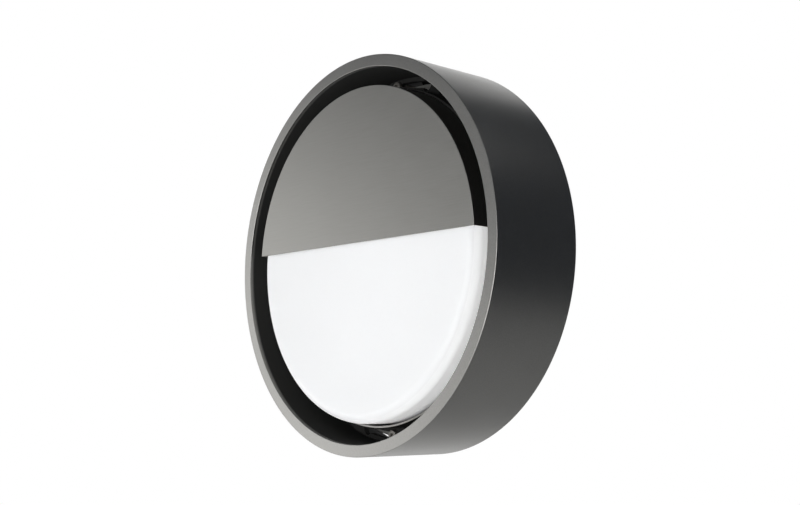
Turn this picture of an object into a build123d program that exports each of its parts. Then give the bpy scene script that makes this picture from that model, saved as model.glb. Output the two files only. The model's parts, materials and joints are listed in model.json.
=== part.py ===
from build123d import *
from math import atan2, cos, degrees, hypot, radians, sin
import os

# Round outdoor wall light: a deep twist-lock ring, an eyelid shade and an opal diffuser on a cast base.
# Sizes are in millimetres. The light is drawn lying on its back: X is right and Y is up as seen from its
# front, and Z is the height off the wall. Each piece is stood up as it is written, so that +Z is up, the
# wall is the plane Y = 0, the front faces -Y and the origin is the centre of the mounting face.
# Angles run anticlockwise from +X as seen from the front.

# Ring
RING_RADIUS = 150.0
RING_DEPTH = 78.0
RING_WALL = 2.8
RING_EDGE = 0.4
WALL_SHADOW_GAP = 0.5
LIP_WIDTH = 8.9
LIP_THICKNESS = 3.0
LIP_INNER_EDGE = 0.4
CHANNEL_WIDTH = 11.8
CHANNEL_WALL = 2.5
CHANNEL_FLOOR = 2.5
CHANNEL_CORNER = 1.2
COLLAR_SET_BACK = 23.0
COLLAR_WALL = 1.7
WEB_COUNT = 12
WEB_THICKNESS = 2.0
GUIDE_COUNT = 6
GUIDE_WIDTH = 3.0
GUIDE_HEIGHT = 9.0

# Twist lock
LOCK_ANGLES = (90.0, 270.0)
UNLOCK_TURN = 14.0
LOCK_PAD_HEIGHT = 2.0
LOCK_PAD_AHEAD = 4.5
LOCK_PAD_BEHIND = 7.0
LOCK_SHOULDER_RADIUS = 2.3
LOCK_THREAD_RADIUS = 2.0
LOCK_THREAD_LENGTH = 6.0
LOCK_HEAD_RADIUS = 4.3
LOCK_HEAD_HEIGHT = 3.2
LOCK_HEAD_EDGE = 0.8
LOCK_SOCKET_WIDTH = 3.0
LOCK_SOCKET_DEPTH = 2.0
LOCK_ENTRY_CLEARANCE = 0.5
STANDOFF_WIDTH = 7.0
STANDOFF_HEIGHT = 9.7
STANDOFF_STUD_LENGTH = 13.0

# Eyelid
EYELID_SET_BACK = 1.6
EYELID_PLATE = 1.0
EYELID_SKIRT = 0.8
EYELID_EDGE = 0.3
EYELID_CHORD = 8.4
FOOT_ANGLES = (28.0, 66.0, 114.0, 152.0)
FOOT_THICKNESS = 1.5
FOOT_WIDTH = 14.0
FOOT_REACH = 10.5
FOOT_BOSS_RADIUS = 3.5
FOOT_BOSS_HEIGHT = 3.0

# Diffuser, its seal and its clamp
DIFFUSER_CROWN = 0.5
DIFFUSER_EDGE = 8.0
DIFFUSER_WALL = 2.2
FLANGE_WIDTH = 5.7
FLANGE_THICKNESS = 2.5
SEAL_WIDTH = 3.8
SEAL_THICKNESS = 3.0
SEAL_GROOVE = 1.0
CLAMP_THICKNESS = 2.0
CLAMP_OUTER_MARGIN = 0.4
CLAMP_SCREW_ANGLES = (0.0, 45.0, 135.0, 180.0, 225.0, 315.0)

# Base
BASE_MARGIN = 8.2
BASE_FLOOR = 3.0
BASE_WALL = 2.8
PAN_MARGIN = 2.55
PAN_WALL = 3.0
LEDGE_HEIGHT = 14.0
LEDGE_THICKNESS = 2.8
BASE_LIFT = 2.0
LEDGE_BOSS_RADIUS = 3.6
LEDGE_WEB_START = 22.5
LEDGE_WEB_COUNT = 8
WALL_SEAL_MARGIN = 10.0
WALL_SEAL_WIDTH = 5.0
WALL_SEAL_DEPTH = 1.6
SLOT_MARGIN = 19.5
SLOT_LENGTH = 12.0
SLOT_WIDTH = 5.5
GUSSET_THICKNESS = 2.5
GUSSET_HEIGHT = 9.0

# Cable entry
ENTRY_PLACE = (0.0, 30.0)
ENTRY_RADIUS = 8.0
ENTRY_RECESS_RADIUS = 12.0
ENTRY_RECESS_DEPTH = 1.5
GROMMET_LIP = 3.2
GROMMET_LIP_THICKNESS = 1.3
GROMMET_NOSE_HEIGHT = 4.5
GROMMET_NOSE_WALL = 1.6
CABLE_RADIUS = 4.0

# Gear tray and light source
TRAY_HEIGHT = 24.0
TRAY_SHEET = 1.0
TRAY_RIM_CLEARANCE = 4.6
TRAY_RIM_HEIGHT = 10.0
TRAY_RIM_SPREAD = 7.4
TRAY_SCREW_MARGIN = 12.0
TRAY_SCREW_ANGLES = (45.0, 135.0, 225.0, 315.0)
TRAY_BOSS_RADIUS = 4.5
BOARD_MARGIN = 12.0
BOARD_THICKNESS = 1.6
BOARD_SCREW_SHARE = 0.74
CHIP_RING_SHARES = (0.3, 0.59, 0.885)
CHIP_COUNTS = (6, 12, 18)
CHIP_SIZE = (3.5, 2.8, 0.8)
BUSH_MARGIN = 15.3
BUSH_ANGLE = 209.7
BUSH_HOLE_RADIUS = 4.5
BUSH_FLANGE_RADIUS = 6.0
BUSH_FLANGE_THICKNESS = 1.2
BUSH_BORE_RADIUS = 3.2
CONNECTOR_SIZE = (9.0, 7.0, 4.5)
CONNECTOR_RUN = 26.0

# Driver
DRIVER_PLACE = (0.0, -48.0)
DRIVER_SIZE = (96.0, 38.0)
DRIVER_CASE_HEIGHT = 12.0
DRIVER_LID_HEIGHT = 5.5
DRIVER_CORNER = 3.0
DRIVER_LID_EDGE = 1.2
EAR_LENGTH = 12.0
EAR_WIDTH = 14.0
EAR_THICKNESS = 2.0

# Terminal block and earth point
TERMINAL_PLACE = (58.0, 28.0)
TERMINAL_PITCH = 10.0
TERMINAL_COUNT = 3
TERMINAL_SIZE = (32.0, 18.0, 13.0)
TERMINAL_EDGE = 1.0
TERMINAL_BORE_RADIUS = 2.6
TERMINAL_BORE_HEIGHT = 6.0
TERMINAL_WELL_RADIUS = 2.3
TERMINAL_WELL_OFFSET = 4.5
TERMINAL_PAD_HEIGHT = 3.0
INSERT_LENGTH = 15.0
INSERT_BORE_RADIUS = 1.6
CLAMPING_SCREW_RADIUS = 1.5
CLAMPING_SCREW_LENGTH = 5.5
EARTH_PLACE = (30.0, -4.0)
EARTH_BOSS_RADIUS = 4.0
EARTH_BOSS_HEIGHT = 6.0
TAG_RADIUS = 3.8
TAG_THICKNESS = 0.8
TAG_BARREL_RADIUS = 1.7
TAG_BARREL_START = 4.5
TAG_BARREL_LENGTH = 6.0

# Leads
MAINS_LEAD_RADIUS = 1.1
LED_LEAD_RADIUS = 0.8
LED_LEAD_OFFSET = 1.2
LEAD_SOCKET_DEPTH = 5.0
LEAD_SOCKET_CLEARANCE = 0.3
DRIVER_MAINS_OFFSET = 6.0
DRIVER_LED_OFFSET = 4.0
BEND_SHARE = 0.45

# Small pan-head screws, all of one size, and their holes
SCREW_RADIUS = 1.5
SCREW_HEAD_RADIUS = 2.8
SCREW_HEAD_HEIGHT = 2.2
SCREW_HEAD_EDGE = 0.6
SCREW_PASSAGE = 1.7
SCREW_HOLE_END = 0.5

# Clearances
RUNNING_GAP = 0.3
COLLAR_GAP = 0.4
THREAD_GAP = 0.05
FIT_GAP = 0.05
THROUGH = 1.0

# Radii that follow from the ring's, from outside inwards
RING_INNER = RING_RADIUS - RING_WALL
LIP_INNER = RING_RADIUS - LIP_WIDTH
COLLAR_OUTER = LIP_INNER - CHANNEL_WIDTH
COLLAR_INNER = COLLAR_OUTER - COLLAR_WALL
SKIRT_OUTER = COLLAR_INNER - COLLAR_GAP
SKIRT_INNER = SKIRT_OUTER - EYELID_SKIRT
DIFFUSER_RADIUS = SKIRT_INNER - RUNNING_GAP
FIXING_CIRCLE = (COLLAR_OUTER + LIP_INNER) / 2
FLANGE_RADIUS = DIFFUSER_RADIUS + FLANGE_WIDTH
SEAL_INNER = DIFFUSER_RADIUS + (FLANGE_WIDTH - SEAL_WIDTH) / 2
BASE_RADIUS = RING_INNER - BASE_MARGIN
CLAMP_RADIUS = BASE_RADIUS - CLAMP_OUTER_MARGIN
PAN_RADIUS = SEAL_INNER - PAN_MARGIN
WALL_SEAL_RADIUS = PAN_RADIUS - WALL_SEAL_MARGIN
SLOT_CIRCLE = WALL_SEAL_RADIUS - SLOT_MARGIN
TRAY_RIM_RADIUS = DIFFUSER_RADIUS - DIFFUSER_WALL - TRAY_RIM_CLEARANCE
TRAY_FLAT_RADIUS = TRAY_RIM_RADIUS - TRAY_RIM_SPREAD
TRAY_SCREW_CIRCLE = TRAY_FLAT_RADIUS - TRAY_SCREW_MARGIN
BOARD_RADIUS = TRAY_SCREW_CIRCLE - BOARD_MARGIN
BOARD_SCREW_CIRCLE = BOARD_RADIUS * BOARD_SCREW_SHARE
BUSH_CIRCLE = TRAY_FLAT_RADIUS - BUSH_MARGIN
BUSH_PLACE = (BUSH_CIRCLE * cos(radians(BUSH_ANGLE)), BUSH_CIRCLE * sin(radians(BUSH_ANGLE)))

# Heights off the wall that follow, the base's first
FLANGE_BACK = LEDGE_HEIGHT - SEAL_GROOVE + SEAL_THICKNESS
FLANGE_FRONT = FLANGE_BACK + FLANGE_THICKNESS
CLAMP_FRONT = FLANGE_FRONT + CLAMP_THICKNESS
STANDOFF_FRONT = CLAMP_FRONT + STANDOFF_HEIGHT
FLOOR_BACK = STANDOFF_FRONT + RUNNING_GAP
FLOOR_FRONT = FLOOR_BACK + CHANNEL_FLOOR
PAD_FRONT = FLOOR_FRONT + LOCK_PAD_HEIGHT
LIP_BACK = RING_DEPTH - LIP_THICKNESS
COLLAR_FRONT = RING_DEPTH - COLLAR_SET_BACK
EYELID_FRONT = RING_DEPTH - EYELID_SET_BACK
EYELID_BACK = EYELID_FRONT - EYELID_PLATE
DIFFUSER_FRONT = EYELID_BACK - RUNNING_GAP
DIFFUSER_RIM = DIFFUSER_FRONT - DIFFUSER_CROWN
LEDGE_BACK = LEDGE_HEIGHT - LEDGE_THICKNESS
TRAY_FRONT = TRAY_HEIGHT + TRAY_SHEET
BOARD_FRONT = TRAY_FRONT + BOARD_THICKNESS
TERMINAL_BACK = BASE_FLOOR + TERMINAL_PAD_HEIGHT
WIRE_HEIGHT = TERMINAL_BACK + TERMINAL_BORE_HEIGHT
EARTH_FRONT = BASE_FLOOR + EARTH_BOSS_HEIGHT


def turned(*corners):
    """Body of revolution about Z. Each corner is (radius, height) or (radius, height, rounding)."""
    points = [(corner[0], 0, corner[1]) for corner in corners]
    roundings = [corner[2] if len(corner) > 2 else 0 for corner in corners]
    outline = FilletPolyline(*points, radius=roundings, close=True)
    return revolve(make_face(outline.edges()), axis=Axis.Z)


def bevelled(*corners):
    """Outline whose corners given as (radius, height, cut) are cut off straight, at that distance."""
    spots = [Vector(corner[0], 0, corner[1]) for corner in corners]
    outline = []
    for index, corner in enumerate(corners):
        if len(corner) == 2:
            outline.append(corner)
            continue
        here = spots[index]
        for neighbour in (spots[index - 1], spots[(index + 1) % len(spots)]):
            end = here + (neighbour - here).normalized() * corner[2]
            outline.append((end.X, end.Z))
    return outline


def disc(radius, low, high):
    """Solid cylinder about Z between two heights."""
    return Pos(0, 0, low) * Cylinder(radius, high - low, align=(Align.CENTER, Align.CENTER, Align.MIN))


def tube(outer, inner, low, high):
    """Hollow cylinder about Z between two heights."""
    return turned((inner, low), (outer, low), (outer, high), (inner, high))


def sector(inner, outer, low, high, start, end):
    """Part of a tube between two angles."""
    corners = [(inner, 0, low), (outer, 0, low), (outer, 0, high), (inner, 0, high)]
    face = make_face(Polyline(*corners, close=True).edges())
    return Rot(0, 0, start) * revolve(face, axis=Axis.Z, revolution_arc=end - start)


def block(length, width, low, high):
    """Box centred on Z between two heights."""
    return Pos(0, 0, low) * Box(length, width, high - low, align=(Align.CENTER, Align.CENTER, Align.MIN))


def on_circle(shape, radius, angles):
    """Copies of a shape on a circle about Z, each turned to face outwards."""
    return [Rot(0, 0, angle) * Pos(radius, 0, 0) * shape for angle in angles]


def evenly(count, start=0.0):
    """Angles of a whole circle's even division."""
    return [start + 360.0 * index / count for index in range(count)]


def pan_head_screw(seat, length):
    """Screw with its head's seat at a height and its shank reaching down."""
    outline = bevelled(
        (0, seat - length),
        (SCREW_RADIUS, seat - length),
        (SCREW_RADIUS, seat),
        (SCREW_HEAD_RADIUS, seat),
        (SCREW_HEAD_RADIUS, seat + SCREW_HEAD_HEIGHT, SCREW_HEAD_EDGE),
        (0, seat + SCREW_HEAD_HEIGHT),
    )
    return turned(*outline)


def screw_hole(mouth, depth):
    """Threaded hole for a small screw, from its mouth down."""
    return disc(SCREW_RADIUS + THREAD_GAP, mouth - depth, mouth + THROUGH)


def lead(points, radius):
    """Insulated wire along straight runs joined by tangent arcs as large as the runs allow."""
    spots = [Vector(*point) for point in points]
    bends = []
    for before, corner, after in zip(spots, spots[1:], spots[2:]):
        arriving = corner - before
        leaving = after - corner
        shorter = min(arriving.length, leaving.length)
        half_turn = radians(arriving.get_angle(leaving)) / 2
        bends.append(BEND_SHARE * shorter * cos(half_turn) / sin(half_turn))
    route = FilletPolyline(*spots, radius=bends)
    section = Plane(origin=spots[0], z_dir=spots[1] - spots[0]) * Circle(radius)
    return sweep(section, path=route)


def keyhole(angle):
    """Cut in the channel floor that a lock screw's head enters and its shoulder slides along."""
    low = FLOOR_BACK - THROUGH
    high = PAD_FRONT + THROUGH
    half_width = LOCK_SHOULDER_RADIUS + RUNNING_GAP
    entry = disc(LOCK_HEAD_RADIUS + LOCK_ENTRY_CLEARANCE, low, high)
    narrow_end = disc(half_width, low, high)
    inner = FIXING_CIRCLE - half_width
    outer = FIXING_CIRCLE + half_width
    return [
        sector(inner, outer, low, high, angle - UNLOCK_TURN, angle),
        *on_circle(narrow_end, FIXING_CIRCLE, [angle]),
        *on_circle(entry, FIXING_CIRCLE, [angle - UNLOCK_TURN]),
    ]


def make_outer_frame():
    """Ring casting: lip, outer wall, channel and collar, cored from behind and stiffened by webs."""
    channel_outer = LIP_INNER + CHANNEL_WALL
    outline = bevelled(
        (RING_INNER, WALL_SHADOW_GAP),
        (RING_RADIUS, WALL_SHADOW_GAP, RING_EDGE),
        (RING_RADIUS, RING_DEPTH, RING_EDGE),
        (LIP_INNER, RING_DEPTH, LIP_INNER_EDGE),
        (LIP_INNER, FLOOR_FRONT, CHANNEL_CORNER),
        (COLLAR_OUTER, FLOOR_FRONT, CHANNEL_CORNER),
        (COLLAR_OUTER, COLLAR_FRONT, LIP_INNER_EDGE),
        (COLLAR_INNER, COLLAR_FRONT, LIP_INNER_EDGE),
        (COLLAR_INNER, FLOOR_BACK),
        (channel_outer, FLOOR_BACK),
        (channel_outer, LIP_BACK),
        (RING_INNER, LIP_BACK),
    )
    ring = turned(*outline)
    web_length = RING_INNER - channel_outer + CHANNEL_WALL
    web = block(web_length, WEB_THICKNESS, FLOOR_BACK, LIP_BACK + LIP_THICKNESS / 2)
    webs = on_circle(web, (RING_INNER + channel_outer) / 2, evenly(WEB_COUNT, 180.0 / WEB_COUNT))
    guide_inner = BASE_RADIUS + RUNNING_GAP
    guide_length = RING_INNER + RING_WALL / 2 - guide_inner
    guide_low = WALL_SHADOW_GAP + RUNNING_GAP
    guide = block(guide_length, GUIDE_WIDTH, guide_low, guide_low + GUIDE_HEIGHT)
    guides = on_circle(guide, guide_inner + guide_length / 2, evenly(GUIDE_COUNT, 180.0 / GUIDE_COUNT))
    foot_boss = disc(FOOT_BOSS_RADIUS, FLOOR_BACK, FLOOR_FRONT + FOOT_BOSS_HEIGHT)
    bosses = on_circle(foot_boss, foot_screw_circle(), FOOT_ANGLES)
    pads = []
    for angle in LOCK_ANGLES:
        start = angle - UNLOCK_TURN - LOCK_PAD_BEHIND
        end = angle + LOCK_PAD_AHEAD
        inner = COLLAR_OUTER - COLLAR_WALL / 2
        outer = LIP_INNER + CHANNEL_WALL / 2
        pads.append(sector(inner, outer, FLOOR_BACK, PAD_FRONT, start, end))
    cuts = [cut for angle in LOCK_ANGLES for cut in keyhole(angle)]
    foot_hole_end = FLOOR_FRONT + FOOT_BOSS_HEIGHT - SCREW_HOLE_END - FLOOR_BACK
    foot_hole = disc(SCREW_RADIUS + THREAD_GAP, FLOOR_BACK - THROUGH, FLOOR_BACK + foot_hole_end)
    cuts += on_circle(foot_hole, foot_screw_circle(), FOOT_ANGLES)
    return ring + webs + guides + bosses + pads - cuts


def foot_screw_circle():
    """Radius of the circle that the eyelid's screws lie on."""
    return SKIRT_OUTER + FOOT_REACH - FOOT_BOSS_RADIUS - SCREW_HOLE_END


def make_eyelid():
    """Half-disc shade with a skirt round the diffuser and feet behind the channel floor."""
    foot_back = FLOOR_BACK - FOOT_THICKNESS
    outline = bevelled(
        (0, EYELID_BACK),
        (SKIRT_INNER, EYELID_BACK),
        (SKIRT_INNER, foot_back),
        (SKIRT_OUTER, foot_back),
        (SKIRT_OUTER, EYELID_FRONT, EYELID_EDGE),
        (0, EYELID_FRONT),
    )
    upper_half = Pos(0, EYELID_CHORD, 0) * Box(
        2 * RING_RADIUS, RING_RADIUS, 2 * RING_DEPTH, align=(Align.CENTER, Align.MIN, Align.CENTER)
    )
    shade = turned(*outline) & upper_half
    foot_outer = SKIRT_OUTER + FOOT_REACH
    half_angle = degrees(FOOT_WIDTH / 2 / foot_outer)
    feet = []
    for angle in FOOT_ANGLES:
        start = angle - half_angle
        end = angle + half_angle
        feet.append(sector(SKIRT_INNER, foot_outer, foot_back, FLOOR_BACK, start, end))
    passage = disc(SCREW_PASSAGE, foot_back - THROUGH, FLOOR_BACK + THROUGH)
    return shade + feet - on_circle(passage, foot_screw_circle(), FOOT_ANGLES)


def make_eyelid_screws():
    """Screws driven from behind, through the eyelid's feet into the channel floor's bosses."""
    seat = FLOOR_BACK - FOOT_THICKNESS
    length = FOOT_THICKNESS + CHANNEL_FLOOR + FOOT_BOSS_HEIGHT - 2 * SCREW_HOLE_END
    upside_down = Pos(0, 0, seat) * Rot(180, 0, 0) * pan_head_screw(0, length)
    return on_circle(upside_down, foot_screw_circle(), FOOT_ANGLES)


def make_diffuser():
    """Opal cup with a slightly crowned front, a large rounded edge and a flange for the clamp."""
    inner_radius = DIFFUSER_RADIUS - DIFFUSER_WALL
    return turned(
        (0, DIFFUSER_FRONT - DIFFUSER_WALL),
        (inner_radius, DIFFUSER_RIM - DIFFUSER_WALL, DIFFUSER_EDGE - DIFFUSER_WALL),
        (inner_radius, FLANGE_BACK),
        (FLANGE_RADIUS, FLANGE_BACK),
        (FLANGE_RADIUS, FLANGE_FRONT),
        (DIFFUSER_RADIUS, FLANGE_FRONT),
        (DIFFUSER_RADIUS, DIFFUSER_RIM, DIFFUSER_EDGE),
        (0, DIFFUSER_FRONT),
    )


def make_diffuser_gasket():
    """Seal that lies in the ledge's groove under the diffuser's flange."""
    low = LEDGE_HEIGHT - SEAL_GROOVE
    return tube(SEAL_INNER + SEAL_WIDTH, SEAL_INNER, low, FLANGE_BACK)


def make_clamp_ring():
    """Stepped ring that presses on the diffuser's flange and stands on the ledge outside it."""
    band_inner = FLANGE_RADIUS + COLLAR_GAP
    outline = bevelled(
        (DIFFUSER_RADIUS + RUNNING_GAP, FLANGE_FRONT),
        (band_inner, FLANGE_FRONT),
        (band_inner, LEDGE_HEIGHT),
        (CLAMP_RADIUS, LEDGE_HEIGHT),
        (CLAMP_RADIUS, CLAMP_FRONT, LIP_INNER_EDGE),
        (DIFFUSER_RADIUS + RUNNING_GAP, CLAMP_FRONT),
    )
    ring = turned(*outline)
    screw_passage = disc(SCREW_PASSAGE, LEDGE_HEIGHT - THROUGH, CLAMP_FRONT + THROUGH)
    stud_passage = disc(LOCK_THREAD_RADIUS + THREAD_GAP, LEDGE_HEIGHT - THROUGH, CLAMP_FRONT + THROUGH)
    holes = on_circle(screw_passage, FIXING_CIRCLE, CLAMP_SCREW_ANGLES)
    holes += on_circle(stud_passage, FIXING_CIRCLE, LOCK_ANGLES)
    return ring - holes


def make_clamp_screws():
    """Screws that fasten the clamp ring to the base."""
    length = CLAMP_FRONT - BASE_FLOOR - SCREW_HOLE_END
    return on_circle(pan_head_screw(CLAMP_FRONT, length), FIXING_CIRCLE, CLAMP_SCREW_ANGLES)


def make_lock_standoffs():
    """Hexagonal pillars, one behind each keyhole, that carry the lock screws."""
    prism = extrude(RegularPolygon(STANDOFF_WIDTH / 2, 6, major_radius=False), STANDOFF_FRONT - CLAMP_FRONT)
    pillar = Pos(0, 0, CLAMP_FRONT) * prism
    stud = disc(LOCK_THREAD_RADIUS, CLAMP_FRONT - STANDOFF_STUD_LENGTH, CLAMP_FRONT)
    hole_low = STANDOFF_FRONT - LOCK_THREAD_LENGTH - SCREW_HOLE_END
    hole = disc(LOCK_THREAD_RADIUS + THREAD_GAP, hole_low, STANDOFF_FRONT + THROUGH)
    return on_circle(pillar + stud - hole, FIXING_CIRCLE, LOCK_ANGLES)


def make_lock_screws():
    """Shoulder screws whose heads hold the ring's keyhole pads."""
    seat = PAD_FRONT + RUNNING_GAP
    top = seat + LOCK_HEAD_HEIGHT
    outline = bevelled(
        (0, STANDOFF_FRONT - LOCK_THREAD_LENGTH),
        (LOCK_THREAD_RADIUS, STANDOFF_FRONT - LOCK_THREAD_LENGTH),
        (LOCK_THREAD_RADIUS, STANDOFF_FRONT),
        (LOCK_SHOULDER_RADIUS, STANDOFF_FRONT),
        (LOCK_SHOULDER_RADIUS, seat),
        (LOCK_HEAD_RADIUS, seat),
        (LOCK_HEAD_RADIUS, top, LOCK_HEAD_EDGE),
        (0, top),
    )
    socket_outline = RegularPolygon(LOCK_SOCKET_WIDTH / 2, 6, major_radius=False)
    socket = Pos(0, 0, top - LOCK_SOCKET_DEPTH) * extrude(socket_outline, LOCK_SOCKET_DEPTH + THROUGH)
    return on_circle(turned(*outline) - socket, FIXING_CIRCLE, LOCK_ANGLES)


def make_mounting_base():
    """Cast pan: floor, pan wall, ledge and outer skirt, with bosses, webs, slots and the cable entry."""
    pan_inner = PAN_RADIUS - PAN_WALL
    seal_outer = SEAL_INNER + SEAL_WIDTH
    outline = bevelled(
        (0, 0),
        (PAN_RADIUS, 0),
        (PAN_RADIUS, LEDGE_BACK),
        (BASE_RADIUS - BASE_WALL, LEDGE_BACK),
        (BASE_RADIUS - BASE_WALL, BASE_LIFT),
        (BASE_RADIUS, BASE_LIFT),
        (BASE_RADIUS, LEDGE_HEIGHT, LIP_INNER_EDGE),
        (seal_outer + FIT_GAP, LEDGE_HEIGHT),
        (seal_outer + FIT_GAP, LEDGE_HEIGHT - SEAL_GROOVE),
        (SEAL_INNER - FIT_GAP, LEDGE_HEIGHT - SEAL_GROOVE),
        (SEAL_INNER - FIT_GAP, LEDGE_HEIGHT),
        (pan_inner, LEDGE_HEIGHT, LIP_INNER_EDGE),
        (pan_inner, BASE_FLOOR, CHANNEL_CORNER),
        (0, BASE_FLOOR),
    )
    body = turned(*outline)
    ledge_boss = disc(LEDGE_BOSS_RADIUS, BASE_FLOOR, LEDGE_BACK)
    added = on_circle(ledge_boss, FIXING_CIRCLE, [*CLAMP_SCREW_ANGLES, *LOCK_ANGLES])
    web_length = BASE_RADIUS - BASE_WALL - PAN_RADIUS + BASE_WALL
    ledge_web = block(web_length, WEB_THICKNESS, BASE_FLOOR, LEDGE_BACK)
    web_circle = (BASE_RADIUS - BASE_WALL + PAN_RADIUS) / 2
    added += on_circle(ledge_web, web_circle, evenly(LEDGE_WEB_COUNT, LEDGE_WEB_START))
    tray_boss = disc(TRAY_BOSS_RADIUS, BASE_FLOOR, TRAY_HEIGHT)
    added += on_circle(tray_boss, TRAY_SCREW_CIRCLE, TRAY_SCREW_ANGLES)
    gusset_length = pan_inner + PAN_WALL / 2 - TRAY_SCREW_CIRCLE
    gusset = block(gusset_length, GUSSET_THICKNESS, BASE_FLOOR, BASE_FLOOR + GUSSET_HEIGHT)
    added += on_circle(gusset, TRAY_SCREW_CIRCLE + gusset_length / 2, TRAY_SCREW_ANGLES)
    added.append(Pos(*ENTRY_PLACE) * disc(ENTRY_RECESS_RADIUS, BASE_FLOOR, BASE_FLOOR + ENTRY_RECESS_DEPTH))
    added.append(Pos(*TERMINAL_PLACE) * block(*TERMINAL_SIZE[:2], BASE_FLOOR, TERMINAL_BACK))
    added.append(Pos(*EARTH_PLACE) * disc(EARTH_BOSS_RADIUS, BASE_FLOOR, EARTH_FRONT))
    return body + added - base_cuts()


def base_cuts():
    """Holes and grooves of the base."""
    clamp_hole = screw_hole(LEDGE_HEIGHT, LEDGE_HEIGHT - BASE_FLOOR)
    cuts = on_circle(clamp_hole, FIXING_CIRCLE, CLAMP_SCREW_ANGLES)
    stud_low = CLAMP_FRONT - STANDOFF_STUD_LENGTH - SCREW_HOLE_END
    stud_hole = disc(LOCK_THREAD_RADIUS + THREAD_GAP, stud_low, LEDGE_HEIGHT + THROUGH)
    cuts += on_circle(stud_hole, FIXING_CIRCLE, LOCK_ANGLES)
    tray_hole = screw_hole(TRAY_HEIGHT, tray_screw_length())
    cuts += on_circle(tray_hole, TRAY_SCREW_CIRCLE, TRAY_SCREW_ANGLES)
    groove_outer = WALL_SEAL_RADIUS + WALL_SEAL_WIDTH / 2 + FIT_GAP
    groove_inner = WALL_SEAL_RADIUS - WALL_SEAL_WIDTH / 2 - FIT_GAP
    cuts.append(tube(groove_outer, groove_inner, -THROUGH, WALL_SEAL_DEPTH))
    slot = Pos(0, 0, -THROUGH) * extrude(SlotOverall(SLOT_LENGTH, SLOT_WIDTH), BASE_FLOOR + 2 * THROUGH)
    cuts += [Pos(side * SLOT_CIRCLE, 0, 0) * slot for side in (-1, 1)]
    entry = disc(ENTRY_RADIUS + FIT_GAP, -THROUGH, BASE_FLOOR + ENTRY_RECESS_DEPTH + THROUGH)
    recess = disc(ENTRY_RECESS_RADIUS, -THROUGH, ENTRY_RECESS_DEPTH)
    cuts += [Pos(*ENTRY_PLACE) * entry, Pos(*ENTRY_PLACE) * recess]
    terminal_hole = screw_hole(TERMINAL_BACK, TERMINAL_PAD_HEIGHT + BASE_FLOOR / 2)
    cuts += [Pos(*place) * terminal_hole for place in terminal_fixing_places()]
    cuts.append(Pos(*EARTH_PLACE) * screw_hole(EARTH_FRONT, EARTH_BOSS_HEIGHT))
    ear_hole = screw_hole(BASE_FLOOR, BASE_FLOOR / 2)
    cuts += [Pos(*place) * ear_hole for place in ear_places()]
    return cuts


def tray_screw_length():
    """Length of the tray's screws below the tray's seat."""
    return SCREW_HEAD_RADIUS * 3


def terminal_fixing_places():
    """The two points between the terminal block's poles where it is screwed down."""
    return [(TERMINAL_PLACE[0] + side * TERMINAL_PITCH / 2, TERMINAL_PLACE[1]) for side in (-1, 1)]


def pole_offsets():
    """Distance of each pole from the terminal block's middle."""
    middle = (TERMINAL_COUNT - 1) / 2
    return [(index - middle) * TERMINAL_PITCH for index in range(TERMINAL_COUNT)]


def ear_places():
    """Screw points of the driver's two ears."""
    reach = DRIVER_SIZE[0] / 2 + EAR_LENGTH / 2
    return [(DRIVER_PLACE[0] + side * reach, DRIVER_PLACE[1]) for side in (-1, 1)]


def make_wall_gasket():
    """Seal in the groove of the base's back, flush with the mounting face."""
    half_width = WALL_SEAL_WIDTH / 2
    return tube(WALL_SEAL_RADIUS + half_width, WALL_SEAL_RADIUS - half_width, 0, WALL_SEAL_DEPTH)


def make_cable_grommet():
    """Rubber grommet with a lip each side of the floor and a tapered nose round the cable."""
    back = ENTRY_RECESS_DEPTH - GROMMET_LIP_THICKNESS
    front = BASE_FLOOR + ENTRY_RECESS_DEPTH
    lip_radius = ENTRY_RADIUS + GROMMET_LIP
    shoulder = front + GROMMET_LIP_THICKNESS
    bore = CABLE_RADIUS + THREAD_GAP
    grommet = turned(
        (bore, back),
        (lip_radius, back),
        (lip_radius, ENTRY_RECESS_DEPTH),
        (ENTRY_RADIUS, ENTRY_RECESS_DEPTH),
        (ENTRY_RADIUS, front),
        (lip_radius, front),
        (lip_radius, shoulder),
        (ENTRY_RADIUS, shoulder),
        (bore + GROMMET_NOSE_WALL, shoulder + GROMMET_NOSE_HEIGHT),
        (bore, shoulder + GROMMET_NOSE_HEIGHT),
    )
    return Pos(*ENTRY_PLACE) * grommet


def make_terminal_block():
    """Moulded block with a through bore for each pole, wells for its screws and fixing holes."""
    length, width, height = TERMINAL_SIZE
    top = TERMINAL_BACK + height
    body = block(length, width, TERMINAL_BACK, top)
    body = chamfer(body.faces().sort_by(Axis.Z)[-1].edges(), TERMINAL_EDGE)
    cuts = []
    well = disc(TERMINAL_WELL_RADIUS, WIRE_HEIGHT, top + THROUGH)
    for offset in pole_offsets():
        cuts.append(Pos(offset, 0, WIRE_HEIGHT) * Rot(90, 0, 0) * Cylinder(TERMINAL_BORE_RADIUS, 2 * width))
        cuts += [Pos(offset, side * TERMINAL_WELL_OFFSET, 0) * well for side in (-1, 1)]
    head_well = disc(SCREW_HEAD_RADIUS + RUNNING_GAP, terminal_screw_seat(), top + THROUGH)
    passage = disc(SCREW_PASSAGE, TERMINAL_BACK - THROUGH, top)
    for side in (-1, 1):
        cuts += [Pos(side * TERMINAL_PITCH / 2, 0, 0) * hole for hole in (head_well, passage)]
    return Pos(*TERMINAL_PLACE) * (body - cuts)


def terminal_screw_seat():
    """Height where the terminal block's fixing screws seat in their wells."""
    return TERMINAL_BACK + TERMINAL_SIZE[2] - SCREW_HEAD_HEIGHT - 2 * SCREW_HOLE_END


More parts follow.
